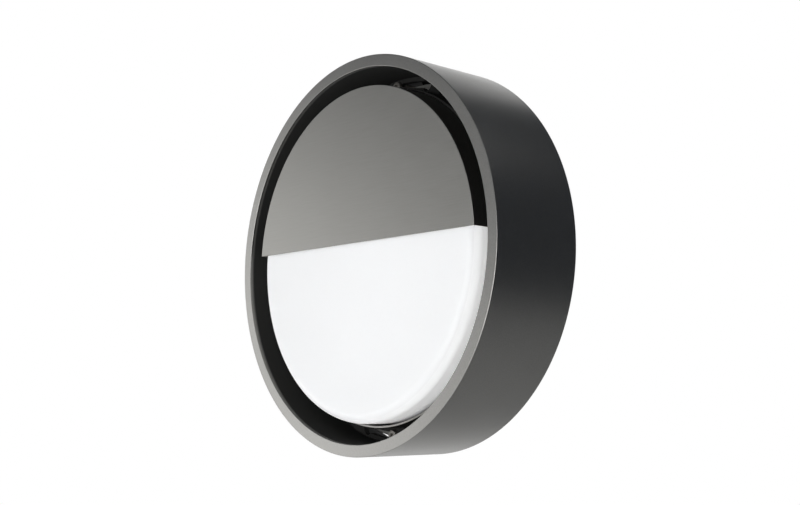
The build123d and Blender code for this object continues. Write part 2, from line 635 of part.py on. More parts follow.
def make_terminal_inserts():
    """Brass tubes of the terminal block, tapped for two clamping screws each."""
    barrel = Rot(90, 0, 0) * Cylinder(TERMINAL_BORE_RADIUS - FIT_GAP, INSERT_LENGTH)
    bore = Rot(90, 0, 0) * Cylinder(INSERT_BORE_RADIUS, 2 * INSERT_LENGTH)
    tapped = disc(CLAMPING_SCREW_RADIUS + THREAD_GAP, 0, TERMINAL_BORE_RADIUS + THROUGH)
    insert = barrel - bore - [Pos(0, side * TERMINAL_WELL_OFFSET, 0) * tapped for side in (-1, 1)]
    x, y = TERMINAL_PLACE
    return [Pos(x + offset, y, WIRE_HEIGHT) * insert for offset in pole_offsets()]


def make_terminal_screws():
    """Clamping screws, two over each pole, each with its tip on the wire."""
    tip = WIRE_HEIGHT + MAINS_LEAD_RADIUS + THREAD_GAP
    screw = disc(CLAMPING_SCREW_RADIUS, tip, tip + CLAMPING_SCREW_LENGTH)
    x, y = TERMINAL_PLACE
    spots = [(x + offset, y + side * TERMINAL_WELL_OFFSET) for offset in pole_offsets() for side in (-1, 1)]
    return [Pos(*spot) * screw for spot in spots]


def make_terminal_fixing_screws():
    """Screws that hold the terminal block on its pad."""
    seat = terminal_screw_seat()
    length = seat - BASE_FLOOR / 2 - SCREW_HOLE_END
    return [Pos(*place) * pan_head_screw(seat, length) for place in terminal_fixing_places()]


def make_earth_tag():
    """Ring tag on the earth boss with a crimped barrel for the earth lead."""
    ring = disc(TAG_RADIUS, EARTH_FRONT, EARTH_FRONT + TAG_THICKNESS)
    tongue_end = TAG_BARREL_START + TAG_BARREL_LENGTH / 2
    tongue = Pos(tongue_end / 2, 0, 0) * block(
        tongue_end, 2 * TAG_BARREL_RADIUS, EARTH_FRONT, EARTH_FRONT + TAG_THICKNESS
    )
    barrel_axis = Pos(TAG_BARREL_START, 0, WIRE_HEIGHT) * Rot(0, 90, 0)
    upwards = (Align.CENTER, Align.CENTER, Align.MIN)
    barrel = barrel_axis * Cylinder(TAG_BARREL_RADIUS, TAG_BARREL_LENGTH, align=upwards)
    riser = Pos(TAG_BARREL_START + TAG_BARREL_LENGTH / 4, 0, 0) * block(
        TAG_BARREL_LENGTH / 2, TAG_BARREL_RADIUS, EARTH_FRONT, WIRE_HEIGHT
    )
    socket = Pos(TAG_BARREL_LENGTH / 2, 0, 0) * barrel_axis * Cylinder(
        MAINS_LEAD_RADIUS + FIT_GAP, TAG_BARREL_LENGTH, align=upwards
    )
    passage = disc(SCREW_PASSAGE, EARTH_FRONT - THROUGH, EARTH_FRONT + TAG_THICKNESS + THROUGH)
    return Pos(*EARTH_PLACE) * (ring + tongue + riser + barrel - socket - passage)


def make_earth_screw():
    """Screw that clamps the earth tag to its boss."""
    seat = EARTH_FRONT + TAG_THICKNESS
    return Pos(*EARTH_PLACE) * pan_head_screw(seat, seat - BASE_FLOOR - SCREW_HOLE_END)


def make_driver_case():
    """Driver's lower shell with two screw ears and sockets for its leads."""
    length, width = DRIVER_SIZE
    top = BASE_FLOOR + DRIVER_CASE_HEIGHT
    case = block(length, width, BASE_FLOOR, top)
    case = fillet(case.edges().filter_by(Axis.Z), DRIVER_CORNER)
    ear_overlap = DRIVER_CORNER
    ear_length = EAR_LENGTH + ear_overlap
    ear = block(ear_length, EAR_WIDTH, BASE_FLOOR, BASE_FLOOR + EAR_THICKNESS)
    ear = fillet(ear.edges().filter_by(Axis.Z), DRIVER_CORNER / 2)
    ear_middle = length / 2 - ear_overlap + ear_length / 2
    ears = [Pos(side * ear_middle, 0, 0) * ear for side in (-1, 1)]
    x, y = DRIVER_PLACE
    shell = Pos(x, y, 0) * (case + ears)
    passage = disc(SCREW_PASSAGE, BASE_FLOOR - THROUGH, BASE_FLOOR + EAR_THICKNESS + THROUGH)
    cuts = [Pos(*place) * passage for place in ear_places()]
    for side, offset, radius in lead_sockets():
        socket = Rot(0, 90, 0) * Cylinder(radius + LEAD_SOCKET_CLEARANCE, 2 * LEAD_SOCKET_DEPTH)
        cuts.append(Pos(x + side * length / 2, y + offset, WIRE_HEIGHT) * socket)
    return shell - cuts


def lead_sockets():
    """Side, offset from the driver's middle and lead radius of each of the driver's four sockets."""
    mains = [(1, side * DRIVER_MAINS_OFFSET, MAINS_LEAD_RADIUS) for side in (-1, 1)]
    return mains + [(-1, side * DRIVER_LED_OFFSET, LED_LEAD_RADIUS) for side in (-1, 1)]


def make_driver_lid():
    """Driver's upper shell."""
    low = BASE_FLOOR + DRIVER_CASE_HEIGHT
    lid = block(*DRIVER_SIZE, low, low + DRIVER_LID_HEIGHT)
    lid = fillet(lid.edges().filter_by(Axis.Z), DRIVER_CORNER)
    lid = chamfer(lid.faces().sort_by(Axis.Z)[-1].edges(), DRIVER_LID_EDGE)
    return Pos(*DRIVER_PLACE) * lid


def make_driver_screws():
    """Screws through the driver's ears."""
    seat = BASE_FLOOR + EAR_THICKNESS
    length = seat - BASE_FLOOR / 2 - SCREW_HOLE_END / 2
    return [Pos(*place) * pan_head_screw(seat, length) for place in ear_places()]


def make_gear_tray():
    """Reflector plate of folded sheet with a raised rim, over the gear."""
    rim_top = TRAY_HEIGHT + TRAY_RIM_HEIGHT
    slope = hypot(TRAY_RIM_RADIUS - TRAY_FLAT_RADIUS, TRAY_RIM_HEIGHT)
    rim_sheet = TRAY_SHEET * slope / TRAY_RIM_HEIGHT
    tray = turned(
        (0, TRAY_HEIGHT),
        (TRAY_FLAT_RADIUS + TRAY_SHEET / 2, TRAY_HEIGHT),
        (TRAY_RIM_RADIUS, rim_top),
        (TRAY_RIM_RADIUS - rim_sheet, rim_top),
        (TRAY_FLAT_RADIUS, TRAY_FRONT),
        (0, TRAY_FRONT),
    )
    passage = disc(SCREW_PASSAGE, TRAY_HEIGHT - THROUGH, TRAY_FRONT + THROUGH)
    tapped = disc(SCREW_RADIUS + THREAD_GAP, TRAY_HEIGHT - THROUGH, TRAY_FRONT + THROUGH)
    bush_hole = disc(BUSH_HOLE_RADIUS, TRAY_HEIGHT - THROUGH, TRAY_FRONT + THROUGH)
    cuts = on_circle(passage, TRAY_SCREW_CIRCLE, TRAY_SCREW_ANGLES)
    cuts += on_circle(tapped, BOARD_SCREW_CIRCLE, TRAY_SCREW_ANGLES)
    cuts.append(Pos(*BUSH_PLACE) * bush_hole)
    return tray - cuts


def make_tray_screws():
    """Screws that hold the tray on the base's bosses."""
    length = tray_screw_length() - SCREW_HOLE_END + TRAY_SHEET
    return on_circle(pan_head_screw(TRAY_FRONT, length), TRAY_SCREW_CIRCLE, TRAY_SCREW_ANGLES)


def make_lead_bush():
    """Rubber bush in the tray's wire hole."""
    neck = BUSH_HOLE_RADIUS - FIT_GAP
    bush = turned(
        (BUSH_BORE_RADIUS, TRAY_HEIGHT - BUSH_FLANGE_THICKNESS),
        (BUSH_FLANGE_RADIUS, TRAY_HEIGHT - BUSH_FLANGE_THICKNESS),
        (BUSH_FLANGE_RADIUS, TRAY_HEIGHT),
        (neck, TRAY_HEIGHT),
        (neck, TRAY_FRONT),
        (BUSH_FLANGE_RADIUS, TRAY_FRONT),
        (BUSH_FLANGE_RADIUS, TRAY_FRONT + BUSH_FLANGE_THICKNESS),
        (BUSH_BORE_RADIUS, TRAY_FRONT + BUSH_FLANGE_THICKNESS),
    )
    return Pos(*BUSH_PLACE) * bush


def make_led_board():
    """Round metal-core board that carries the light sources."""
    passage = disc(SCREW_PASSAGE, TRAY_FRONT - THROUGH, BOARD_FRONT + THROUGH)
    board = disc(BOARD_RADIUS, TRAY_FRONT, BOARD_FRONT)
    return board - on_circle(passage, BOARD_SCREW_CIRCLE, TRAY_SCREW_ANGLES)


def make_led_chips():
    """Light sources on rings, evenly spread under the diffuser."""
    length, width, height = CHIP_SIZE
    chip = block(length, width, BOARD_FRONT, BOARD_FRONT + height)
    chips = []
    for share, count in zip(CHIP_RING_SHARES, CHIP_COUNTS):
        chips += on_circle(chip, share * BOARD_RADIUS, evenly(count))
    return chips


def make_board_screws():
    """Screws that hold the board on the tray."""
    length = BOARD_THICKNESS + TRAY_SHEET + SCREW_HOLE_END
    return on_circle(pan_head_screw(BOARD_FRONT, length), BOARD_SCREW_CIRCLE, TRAY_SCREW_ANGLES)


def connector_frame():
    """Place of the board's connector: its entry face's middle, with local X pointing inwards."""
    x, y = BUSH_PLACE
    heading = degrees(atan2(-y, -x))
    return Pos(x, y, 0) * Rot(0, 0, heading) * Pos(CONNECTOR_RUN, 0, 0)


def make_led_connector():
    """Push-in connector on the board, facing the bush."""
    length, width, height = CONNECTOR_SIZE
    body = Pos(length / 2, 0, 0) * block(length, width, BOARD_FRONT, BOARD_FRONT + height)
    middle = BOARD_FRONT + height / 2
    socket = Rot(0, 90, 0) * Cylinder(LED_LEAD_RADIUS + FIT_GAP, 2 * LEAD_SOCKET_DEPTH)
    cuts = [Pos(0, side * LED_LEAD_OFFSET, middle) * socket for side in (-1, 1)]
    return connector_frame() * (body - cuts)


def make_mains_lead(offset, driver_offset):
    """Lead from a pole of the terminal block to the driver's mains end."""
    x = TERMINAL_PLACE[0] + offset
    start = (x, TERMINAL_PLACE[1] - TERMINAL_WELL_OFFSET, WIRE_HEIGHT)
    driver_y = DRIVER_PLACE[1] + driver_offset
    corner = (x, driver_y, WIRE_HEIGHT)
    end = (DRIVER_PLACE[0] + DRIVER_SIZE[0] / 2 - LEAD_SOCKET_DEPTH, driver_y, WIRE_HEIGHT)
    return lead([start, corner, end], MAINS_LEAD_RADIUS)


def make_earth_lead():
    """Lead from the first pole to the earth tag's barrel."""
    x = TERMINAL_PLACE[0] + pole_offsets()[0]
    start = (x, TERMINAL_PLACE[1] - TERMINAL_WELL_OFFSET, WIRE_HEIGHT)
    corner = (x, EARTH_PLACE[1], WIRE_HEIGHT)
    end = (EARTH_PLACE[0] + TAG_BARREL_START + TAG_BARREL_LENGTH / 2, EARTH_PLACE[1], WIRE_HEIGHT)
    return lead([start, corner, end], MAINS_LEAD_RADIUS)


def make_led_lead(side):
    """Lead from the driver's output, up through the bush and over the board to its connector."""
    place = connector_frame()
    middle = BOARD_FRONT + CONNECTOR_SIZE[2] / 2
    end = (place * Pos(LEAD_SOCKET_DEPTH, side * LED_LEAD_OFFSET, middle)).position
    rise = (place * Pos(-CONNECTOR_RUN, side * LED_LEAD_OFFSET, 0)).position
    driver_end = DRIVER_PLACE[0] - DRIVER_SIZE[0] / 2
    driver_y = DRIVER_PLACE[1] + side * DRIVER_LED_OFFSET
    out = (driver_end + rise.X) / 2
    points = [
        (driver_end + LEAD_SOCKET_DEPTH, driver_y, WIRE_HEIGHT),
        (out, driver_y, WIRE_HEIGHT),
        (rise.X, rise.Y, WIRE_HEIGHT),
        (rise.X, rise.Y, middle),
        (end.X, end.Y, middle),
    ]
    return lead(points, LED_LEAD_RADIUS)


def make_parts():
    """Every node of the light, by name."""
    earth, neutral, live = pole_offsets()
    return {
        "outer_frame": make_outer_frame(),
        "eyelid": make_eyelid(),
        "eyelid_screws": make_eyelid_screws(),
        "diffuser": make_diffuser(),
        "diffuser_gasket": make_diffuser_gasket(),
        "clamp_ring": make_clamp_ring(),
        "clamp_screws": make_clamp_screws(),
        "lock_standoffs": make_lock_standoffs(),
        "lock_screws": make_lock_screws(),
        "mounting_base": make_mounting_base(),
        "wall_gasket": make_wall_gasket(),
        "cable_grommet": make_cable_grommet(),
        "terminal_block": make_terminal_block(),
        "terminal_inserts": make_terminal_inserts(),
        "terminal_screws": make_terminal_screws(),
        "terminal_fixing_screws": make_terminal_fixing_screws(),
        "earth_tag": make_earth_tag(),
        "earth_screw": make_earth_screw(),
        "driver_case": make_driver_case(),
        "driver_lid": make_driver_lid(),
        "driver_screws": make_driver_screws(),
        "gear_tray": make_gear_tray(),
        "tray_screws": make_tray_screws(),
        "lead_bush": make_lead_bush(),
        "led_board": make_led_board(),
        "led_chips": make_led_chips(),
        "led_connector": make_led_connector(),
        "board_screws": make_board_screws(),
        "neutral_lead": make_mains_lead(neutral, DRIVER_MAINS_OFFSET),
        "live_lead": make_mains_lead(live, -DRIVER_MAINS_OFFSET),
        "earth_lead": make_earth_lead(),
        "led_positive_lead": make_led_lead(1),
        "led_negative_lead": make_led_lead(-1),
    }


stand_up = Rot(90, 0, 0)
os.makedirs("parts", exist_ok=True)
for name, made in make_parts().items():
    pieces = [stand_up * piece for piece in (made if isinstance(made, list) else [made])]
    export_step(pieces[0] if len(pieces) == 1 else Compound(children=pieces), f"parts/{name}.step")
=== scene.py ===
"""Round outdoor wall light: a twist-lock ring, an eyelid shade and an opal diffuser.

Lengths are written in millimetres and turned to metres where a mesh is made. The wall is the plane
Y = 0, the light's axis is Y, its front faces -Y and +Z is up. A height is a distance off the wall,
and angles are in degrees, anticlockwise from +X as seen from the front. An Args section that names
no unit means these.
"""

from __future__ import annotations

import json
import logging
import math
from dataclasses import dataclass, field
from enum import Enum
from typing import Callable, Sequence

import bmesh
import bpy
from mathutils import Matrix, Vector

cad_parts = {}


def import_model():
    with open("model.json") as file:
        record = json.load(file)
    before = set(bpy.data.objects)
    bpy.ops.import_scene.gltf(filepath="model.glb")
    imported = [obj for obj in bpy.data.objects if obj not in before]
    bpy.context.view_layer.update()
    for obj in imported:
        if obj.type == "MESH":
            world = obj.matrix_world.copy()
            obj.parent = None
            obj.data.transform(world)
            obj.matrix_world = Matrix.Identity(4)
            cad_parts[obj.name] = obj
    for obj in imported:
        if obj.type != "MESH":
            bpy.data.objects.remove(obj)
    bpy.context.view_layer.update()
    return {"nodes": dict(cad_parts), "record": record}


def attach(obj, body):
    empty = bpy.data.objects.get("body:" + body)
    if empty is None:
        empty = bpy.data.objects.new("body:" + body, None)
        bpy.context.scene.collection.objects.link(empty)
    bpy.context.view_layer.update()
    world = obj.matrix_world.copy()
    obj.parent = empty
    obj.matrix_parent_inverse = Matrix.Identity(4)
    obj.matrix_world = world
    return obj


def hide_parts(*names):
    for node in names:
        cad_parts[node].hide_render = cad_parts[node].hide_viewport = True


LOG = logging.getLogger("wall_light")
MM = 0.001
MM_IN_METRE = 1000.0
FULL_TURN = 360.0
Corner = tuple[float, float, float]
Piece = bpy.types.Object
Tree = bpy.types.NodeTree
Node = bpy.types.Node
Socket = bpy.types.NodeSocket

# How near counts as the same place, in millimetres.
OUTLINE_SLACK = 0.001
CUT_SLACK = 0.002
SPIN_SLACK = 0.005
HEIGHT_SLACK = 0.01
CIRCLE_SLACK = 0.3

# Sizes that sub-assemblies share, in millimetres and degrees, and faces round a shape.
FLOOR_BACK = 30.5
LOCK_CIRCLE = 135.2
LOCK_ANGLES = (90.0, 270.0)
FOOT_CIRCLE = 133.7
FOOT_ANGLES = (28.0, 66.0, 114.0, 152.0)
SPIN_STEPS = 288
POST_SIDES = 48
HOLE_SIDES = 24
HEXAGON = 6

# The range that a noise texture's value mostly stays in, and the slickest roughness of a finish.
NOISE_LOW, NOISE_HIGH = 0.3, 0.7
SLICKEST = 0.03
# Radians that the wave texture runs through in a unit at scale 1, along an axis.
DIAGONAL_RATE, RING_RATE = 10.0, 20.0


class Body(Enum):
    """The light's two bodies: what is fixed to the wall, and what turns on it."""

    BASE = "base"
    RING = "ring"


# ---- Benchwork: primitives shaped in edit mode ----


def at(radius: float, height: float, angle: float = 0.0) -> Vector:
    """Point on the light, in metres.

    Args:
        radius: Distance from the light's axis.
        height: Distance off the wall.
        angle: Angle about the axis.

    Returns:
        The point in the shared frame.
    """
    turn = math.radians(angle)
    return Vector((radius * math.cos(turn), -height, radius * math.sin(turn))) * MM


def only(piece: Piece) -> None:
    """Selects one object and makes it active.

    Args:
        piece: The object.
    """
    bpy.ops.object.select_all(action="DESELECT")
    piece.select_set(True)
    bpy.context.view_layer.objects.active = piece


def started(name: str) -> Piece:
    """Names the primitive that was just added and applies its place to its mesh.

    Args:
        name: The name for the object and its mesh.

    Returns:
        The object, alone selected.
    """
    piece = bpy.context.object
    piece.name = name
    piece.data.name = name
    only(piece)
    bpy.ops.object.transform_apply(location=True, rotation=True, scale=True)
    return piece


def opened() -> None:
    """Enters edit mode on the active object, with all of it selected."""
    bpy.ops.object.mode_set(mode="EDIT")
    bpy.ops.mesh.select_all(action="SELECT")


def pick(piece: Piece, kind: str, test: Callable[[Vector, Vector], bool]) -> None:
    """Selects edges or faces of the piece in edit mode by their place.

    Args:
        piece: The object in edit mode.
        kind: "EDGE" or "FACE".
        test: Called with the element's middle, and with an edge's direction or a face's normal.
    """
    bpy.ops.mesh.select_all(action="DESELECT")
    bpy.ops.mesh.select_mode(type=kind)
    sheet = bmesh.from_edit_mesh(piece.data)
    if kind == "EDGE":
        for edge in sheet.edges:
            first, second = (vertex.co for vertex in edge.verts)
            edge.select = test((first + second) / 2, second - first)
    else:
        for face in sheet.faces:
            face.select = test(face.calc_center_median(), face.normal)
    sheet.select_flush_mode()
    bmesh.update_edit_mesh(piece.data)


def turned(name: str, outline: Sequence[Corner], steps: int = SPIN_STEPS, start: float = 0.0,
           sweep: float = FULL_TURN, segments: int = 4) -> Piece:
    """Spins a closed outline about the light's axis and rounds its corners.

    Args:
        name: The object's name.
        outline: Corners as (radius, height, rounding).
        steps: Spin steps over the sweep.
        start: First angle.
        sweep: Angle that the spin covers.
        segments: Faces across a rounding.

    Returns:
        The closed object.
    """
    places = [at(radius, height, start) for radius, height, _ in outline]
    bpy.ops.mesh.primitive_plane_add(size=MM, location=places[0])
    piece = started(name)
    bpy.ops.object.mode_set(mode="EDIT")
    bpy.ops.mesh.select_mode(type="VERT")
    bpy.ops.mesh.select_all(action="SELECT")
    bpy.ops.mesh.merge(type="CENTER")
    for before, after in zip(places, [*places[1:], places[0]]):
        bpy.ops.mesh.extrude_vertices_move(TRANSFORM_OT_translate={"value": after - before})
    bpy.ops.mesh.select_all(action="SELECT")
    bpy.ops.mesh.remove_doubles(threshold=OUTLINE_SLACK * MM)
    if sweep < FULL_TURN:
        bpy.ops.mesh.edge_face_add()
        bpy.ops.mesh.select_all(action="SELECT")
    bpy.ops.mesh.spin(steps=steps, angle=math.radians(sweep), center=(0, 0, 0), axis=(0, 1, 0))
    bpy.ops.mesh.select_all(action="SELECT")
    bpy.ops.mesh.remove_doubles(threshold=SPIN_SLACK * MM)
    bpy.ops.mesh.delete_loose()
    bpy.ops.mesh.select_all(action="SELECT")
    bpy.ops.mesh.normals_make_consistent(inside=False)
    for radius, height, rounding in outline:
        if rounding > 0 and radius > 0:
            round_ring(piece, radius, height, rounding, segments)
    bpy.ops.object.mode_set(mode="OBJECT")
    return piece


def round_ring(piece: Piece, radius: float, height: float, rounding: float, segments: int) -> None:
    """Bevels one circular edge of a piece in edit mode.

    Args:
        piece: The object in edit mode.
        radius: The circle's radius.
        height: The circle's height.
        rounding: How far the bevel reaches.
        segments: Faces across it.
    """

    def on_ring(middle: Vector, along: Vector) -> bool:
        """True for an edge that lies on the circle."""
        level = max(abs(-middle.y / MM - height), abs(along.y) / MM) < HEIGHT_SLACK
        return level and abs(math.hypot(middle.x, middle.z) / MM - radius) < CIRCLE_SLACK

    pick(piece, "EDGE", on_ring)
    bpy.ops.mesh.bevel(offset=rounding * MM, offset_type="OFFSET", segments=segments,
                       affect="EDGES", clamp_overlap=False)


def posts(name: str, radius: float, low: float, high: float, circle: float,
          angles: Sequence[float], sides: int = POST_SIDES) -> list[Piece]:
    """Round posts standing off the wall.

    Args:
        name: The objects' name.
        radius: A post's radius.
        low: Height where it starts.
        high: Height where it ends.
        circle: Radius of the circle that they stand on.
        angles: Their angles on that circle.
        sides: Faces round a post.

    Returns:
        The posts.
    """
    made = []
    for angle in angles:
        bpy.ops.mesh.primitive_cylinder_add(
            vertices=sides, radius=radius * MM, depth=(high - low) * MM,
            location=at(circle, (low + high) / 2, angle), rotation=(math.pi / 2, 0, 0))
        made.append(started(name))
    return made


def slabs(name: str, inner: float, outer: float, width: float, low: float, high: float,
          count: int) -> list[Piece]:
    """Radial blocks between two radii and two heights, evenly round the axis.

    Args:
        name: The objects' name.
        inner: Radius where a block starts.
        outer: Radius where it ends.
        width: Its thickness.
        low: Height where it starts.
        high: Height where it ends.
        count: How many there are, the first half a pitch from +X.

    Returns:
        The blocks.
    """
    made = []
    for index in range(count):
        bpy.ops.mesh.primitive_cube_add(size=1.0, location=(0, 0, 0))
        made.append(started(name))
        opened()
        bpy.ops.transform.resize(value=((outer - inner) * MM, (high - low) * MM, width * MM))
        bpy.ops.transform.translate(value=at((inner + outer) / 2, (low + high) / 2))
        bpy.ops.object.mode_set(mode="OBJECT")
        swung(made[-1], (index + 0.5) * FULL_TURN / count)
    return made


def swung(piece: Piece, angle: float) -> None:
    """Turns a piece's mesh about the light's axis.

    Args:
        piece: The object, which stays unturned itself.
        angle: How far it turns.
    """
    piece.rotation_euler = (0, -math.radians(angle), 0)
    only(piece)
    bpy.ops.object.transform_apply(location=False, rotation=True, scale=False)


def worked(piece: Piece, tools: Sequence[Piece], operation: str) -> None:
    """Joins tools to a piece or cuts them out of it, and removes them.

    Args:
        piece: The object that changes.
        tools: Closed objects that don't touch one another.
        operation: "UNION" or "DIFFERENCE".
    """
    only(tools[0])
    for tool in tools:
        tool.select_set(True)
    if len(tools) > 1:
        bpy.ops.object.join()
    only(piece)
    change = piece.modifiers.new("work", "BOOLEAN")
    change.operation = operation
    change.solver = "EXACT"
    change.object = tools[0]
    bpy.ops.object.modifier_apply(modifier=change.name)
    bpy.data.objects.remove(tools[0])
    opened()
    bpy.ops.mesh.remove_doubles(threshold=CUT_SLACK * MM)
    bpy.ops.object.mode_set(mode="OBJECT")


def smoothed(piece: Piece, angle: float = 28.0) -> None:
    """Shades a piece smooth, with normals weighted by face size.

    Args:
        piece: The object.
        angle: The angle between faces from which an edge stays sharp.
    """
    only(piece)
    bpy.ops.object.shade_smooth_by_angle(angle=math.radians(angle))
    weigh = piece.modifiers.new("weigh", "WEIGHTED_NORMAL")
    weigh.keep_sharp = True
    bpy.ops.object.modifier_apply(modifier=weigh.name)


def copied(piece: Piece, name: str, angle: float) -> Piece:
    """Copies a piece with its mesh and turns the copy about the light's axis.

    Args:
        piece: The object to copy.
        name: The copy's name.
        angle: From the piece to its copy.

    Returns:
        The copy.
    """
    copy = piece.copy()
    copy.data = piece.data.copy()
    copy.name = name
    copy.data.name = name
    bpy.context.scene.collection.objects.link(copy)
    swung(copy, angle)
    return copy


# ---- Finishes ----


def linear(colour: str) -> tuple[float, float, float, float]:
    """An sRGB hex colour as linear values.

    Args:
        colour: Such as "#6f6b67".

    Returns:
        Red, green, blue and an alpha of 1.
    """
    parts = [int(colour[place:place + 2], 16) / 255 for place in (1, 3, 5)]
    red, green, blue = (
        part / 12.92 if part <= 0.04045 else ((part + 0.055) / 1.055) ** 2.4 for part in parts)
    return red, green, blue, 1.0


def feed(target: Node, **links: object) -> None:
    """Gives a node's inputs their values or links.

    Args:
        target: The node.
        **links: Input names, with underscores for spaces, or an underscore and an index, to values,
            sockets, or nodes that stand for their first output.
    """
    for name, value in links.items():
        numbered = name[0] == "_" and name[1:].isdigit()
        socket = target.inputs[int(name[1:]) if numbered else name.replace("_", " ")]
        if isinstance(value, (Node, Socket)):
            source = value.outputs[0] if isinstance(value, Node) else value
            target.id_data.links.new(source, socket)
        else:
            socket.default_value = value


def node(tree: Tree, kind: str, settings: dict | None = None, **links: object) -> Node:
    """Adds a node.

    Args:
        tree: The node tree it goes in.
        kind: The node's type name after ShaderNode.
        settings: Attributes of the node.
        **links: Its inputs, as feed takes them.

    Returns:
        The node.
    """
    added = tree.nodes.new(f"ShaderNode{kind}")
    for name, value in (settings or {}).items():
        setattr(added, name, value)
    feed(added, **links)
    return added


def emptied(owner: bpy.types.Material | bpy.types.World) -> Tree:
    """Gives a material or a world an empty node tree.

    Args:
        owner: The material or world.

    Returns:
        Its node tree.
    """
    owner.use_nodes = True
    owner.node_tree.nodes.clear()
    return owner.node_tree


def surface_of(tree: Tree) -> Node:
    """Finds the surface shader of a finished material."""
    return next(part for part in tree.nodes if part.type == "BSDF_PRINCIPLED")


def from_axis(tree: Tree) -> tuple[Socket, Socket, Socket]:
    """Adds what a finish needs to follow the light's round shape.

    Args:
        tree: The material's node tree.

    Returns:
        Distance from the light's axis, Y and Z, in metres.
    """
    place = node(tree, "TexCoord").outputs["Object"]
    axes = node(tree, "SeparateXYZ", Vector=place).outputs
    flat = node(tree, "CombineXYZ", X=axes[0], Z=axes[2])
    length = node(tree, "VectorMath", {"operation": "LENGTH"}, _0=flat)
    return length.outputs["Value"], axes[1], axes[2]


@dataclass(frozen=True)
class Finish:
    """What a surface is made of and how it was made.

    Sizes are real ones in millimetres: grain is one grain's width, relief its height and cloud the
    width of a slow change of tone. Tone and haze are how far colour and roughness stray. Second is
    the second colour of a finish that has one.
    """

    name: str
    colour: str
    roughness: float
    metallic: float = 0.0
    grain: float = 1.0
    relief: float = 0.02
    tone: float = 0.06
    haze: float = 0.06
    cloud: float = 60.0
    cloud_tone: float = 0.02
    stretch: Corner = (1.0, 1.0, 1.0)
    second: str = "#ffffff"

    def shader(self, tree: Tree) -> Node:
        """Adds the surface shader with its constants on its own sockets."""
        return node(tree, "BsdfPrincipled", Base_Color=linear(self.colour),
                    Roughness=self.roughness, Metallic=self.metallic)

    def pattern(self, tree: Tree, place: Socket) -> Node:
        """The grain, from 0 to 1 about a half."""
        stretched = node(tree, "Mapping", Vector=place, Scale=self.stretch)
        return node(tree, "TexNoise", Vector=stretched, Scale=MM_IN_METRE / self.grain, Detail=3.0,
                    Roughness=0.6)

    def second_share(self, tree: Tree, place: Socket) -> Node | None:
        """How much of the second colour shows: a plain finish has none."""
        return None

    def material(self) -> bpy.types.Material:
        """Builds the material.

        Returns:
            A material whose grain and clouds vary its tone, roughness and relief.
        """
        made = bpy.data.materials.new(self.name)
        tree = emptied(made)
        surface = self.shader(tree)
        place = node(tree, "TexCoord").outputs["Object"]
        grain = self.pattern(tree, place)
        cloud = node(tree, "TexNoise", Vector=place, Scale=MM_IN_METRE / self.cloud, Detail=1.0)
        slickest = max(SLICKEST, self.roughness - self.haze)
        spreads = (
            (grain, 1.0 - self.tone, 1.0 + self.tone),
            (cloud, 1.0 - self.cloud_tone, 1.0 + self.cloud_tone),
            (grain, slickest, min(1.0, self.roughness + self.haze)),
        )
        fine, slow, gloss = (
            node(tree, "MapRange", Value=value, From_Min=NOISE_LOW, From_Max=NOISE_HIGH,
                 To_Min=low, To_Max=high) for value, low, high in spreads)
        shade = node(tree, "Math", {"operation": "MULTIPLY"}, _0=fine, _1=slow)
        colour = node(tree, "VectorMath", {"operation": "SCALE"}, _0=linear(self.colour)[:3],
                      Scale=shade)
        share = self.second_share(tree, place)
        if share is not None:
            colour = node(tree, "Mix", {"data_type": "RGBA"}, Factor=share, _6=colour,
                          _7=linear(self.second)).outputs[2]
        bump = node(tree, "Bump", Strength=1.0, Distance=self.relief * MM, Height=grain)
        feed(surface, Base_Color=colour, Roughness=gloss, Normal=bump)
        node(tree, "OutputMaterial", Surface=surface)
        return made


@dataclass(frozen=True)
class OpalPlastic(Finish):
    """Opal plastic: light enters the surface and comes back out near by, so its shading is soft.

    In a deep cup the light that enters its face is led along the wall and leaves at the flank. That
    is painted in as a faint glow, an emission that lightens the flank with no lamp behind it, from
    painted_glow_start to painted_glow_end off the axis and from painted_glow_low to
    painted_glow_high off the wall, in millimetres.
    """

    depth: float = 12.0
    scatter: float = 0.9
    scatter_colour: Corner = (1.0, 0.98, 0.96)
    painted_glow: float = 0.0
    painted_glow_colour: Corner = (1.0, 1.0, 0.985)
    painted_glow_start: float = 122.5
    painted_glow_end: float = 126.1
    painted_glow_low: float = 50.0
    painted_glow_high: float = 60.0

    def shader(self, tree: Tree) -> Node:
        """Adds a shader that scatters light below the surface."""
        surface = super().shader(tree)
        feed(surface, Subsurface_Weight=self.scatter, Subsurface_Radius=self.scatter_colour,
             Subsurface_Scale=self.depth * MM)
        return surface

    def material(self) -> bpy.types.Material:
        """Builds the material and adds the painted glow at the flank, where there is one.

        Returns:
            The material.
        """
        made = super().material()
        if self.painted_glow > 0.0:
            tree = made.node_tree
            radius, depthwise, _ = from_axis(tree)
            eased = {"interpolation_type": "SMOOTHSTEP"}
            outward = node(tree, "MapRange", eased, Value=radius, To_Max=self.painted_glow,
                           From_Min=self.painted_glow_start * MM, From_Max=self.painted_glow_end * MM)
            raised = node(tree, "MapRange", eased, Value=depthwise,
                          From_Min=-self.painted_glow_low * MM, From_Max=-self.painted_glow_high * MM)
            share = node(tree, "Math", {"operation": "MULTIPLY"}, _0=outward, _1=raised)
            colour = node(tree, "VectorMath", {"operation": "SCALE"}, _0=self.painted_glow_colour,
                          Scale=share)
            # Painted glow: an emission that lightens the flank, though no lamp shines in the cup.
            feed(surface_of(tree), Emission_Color=colour, Emission_Strength=1.0)
        return made


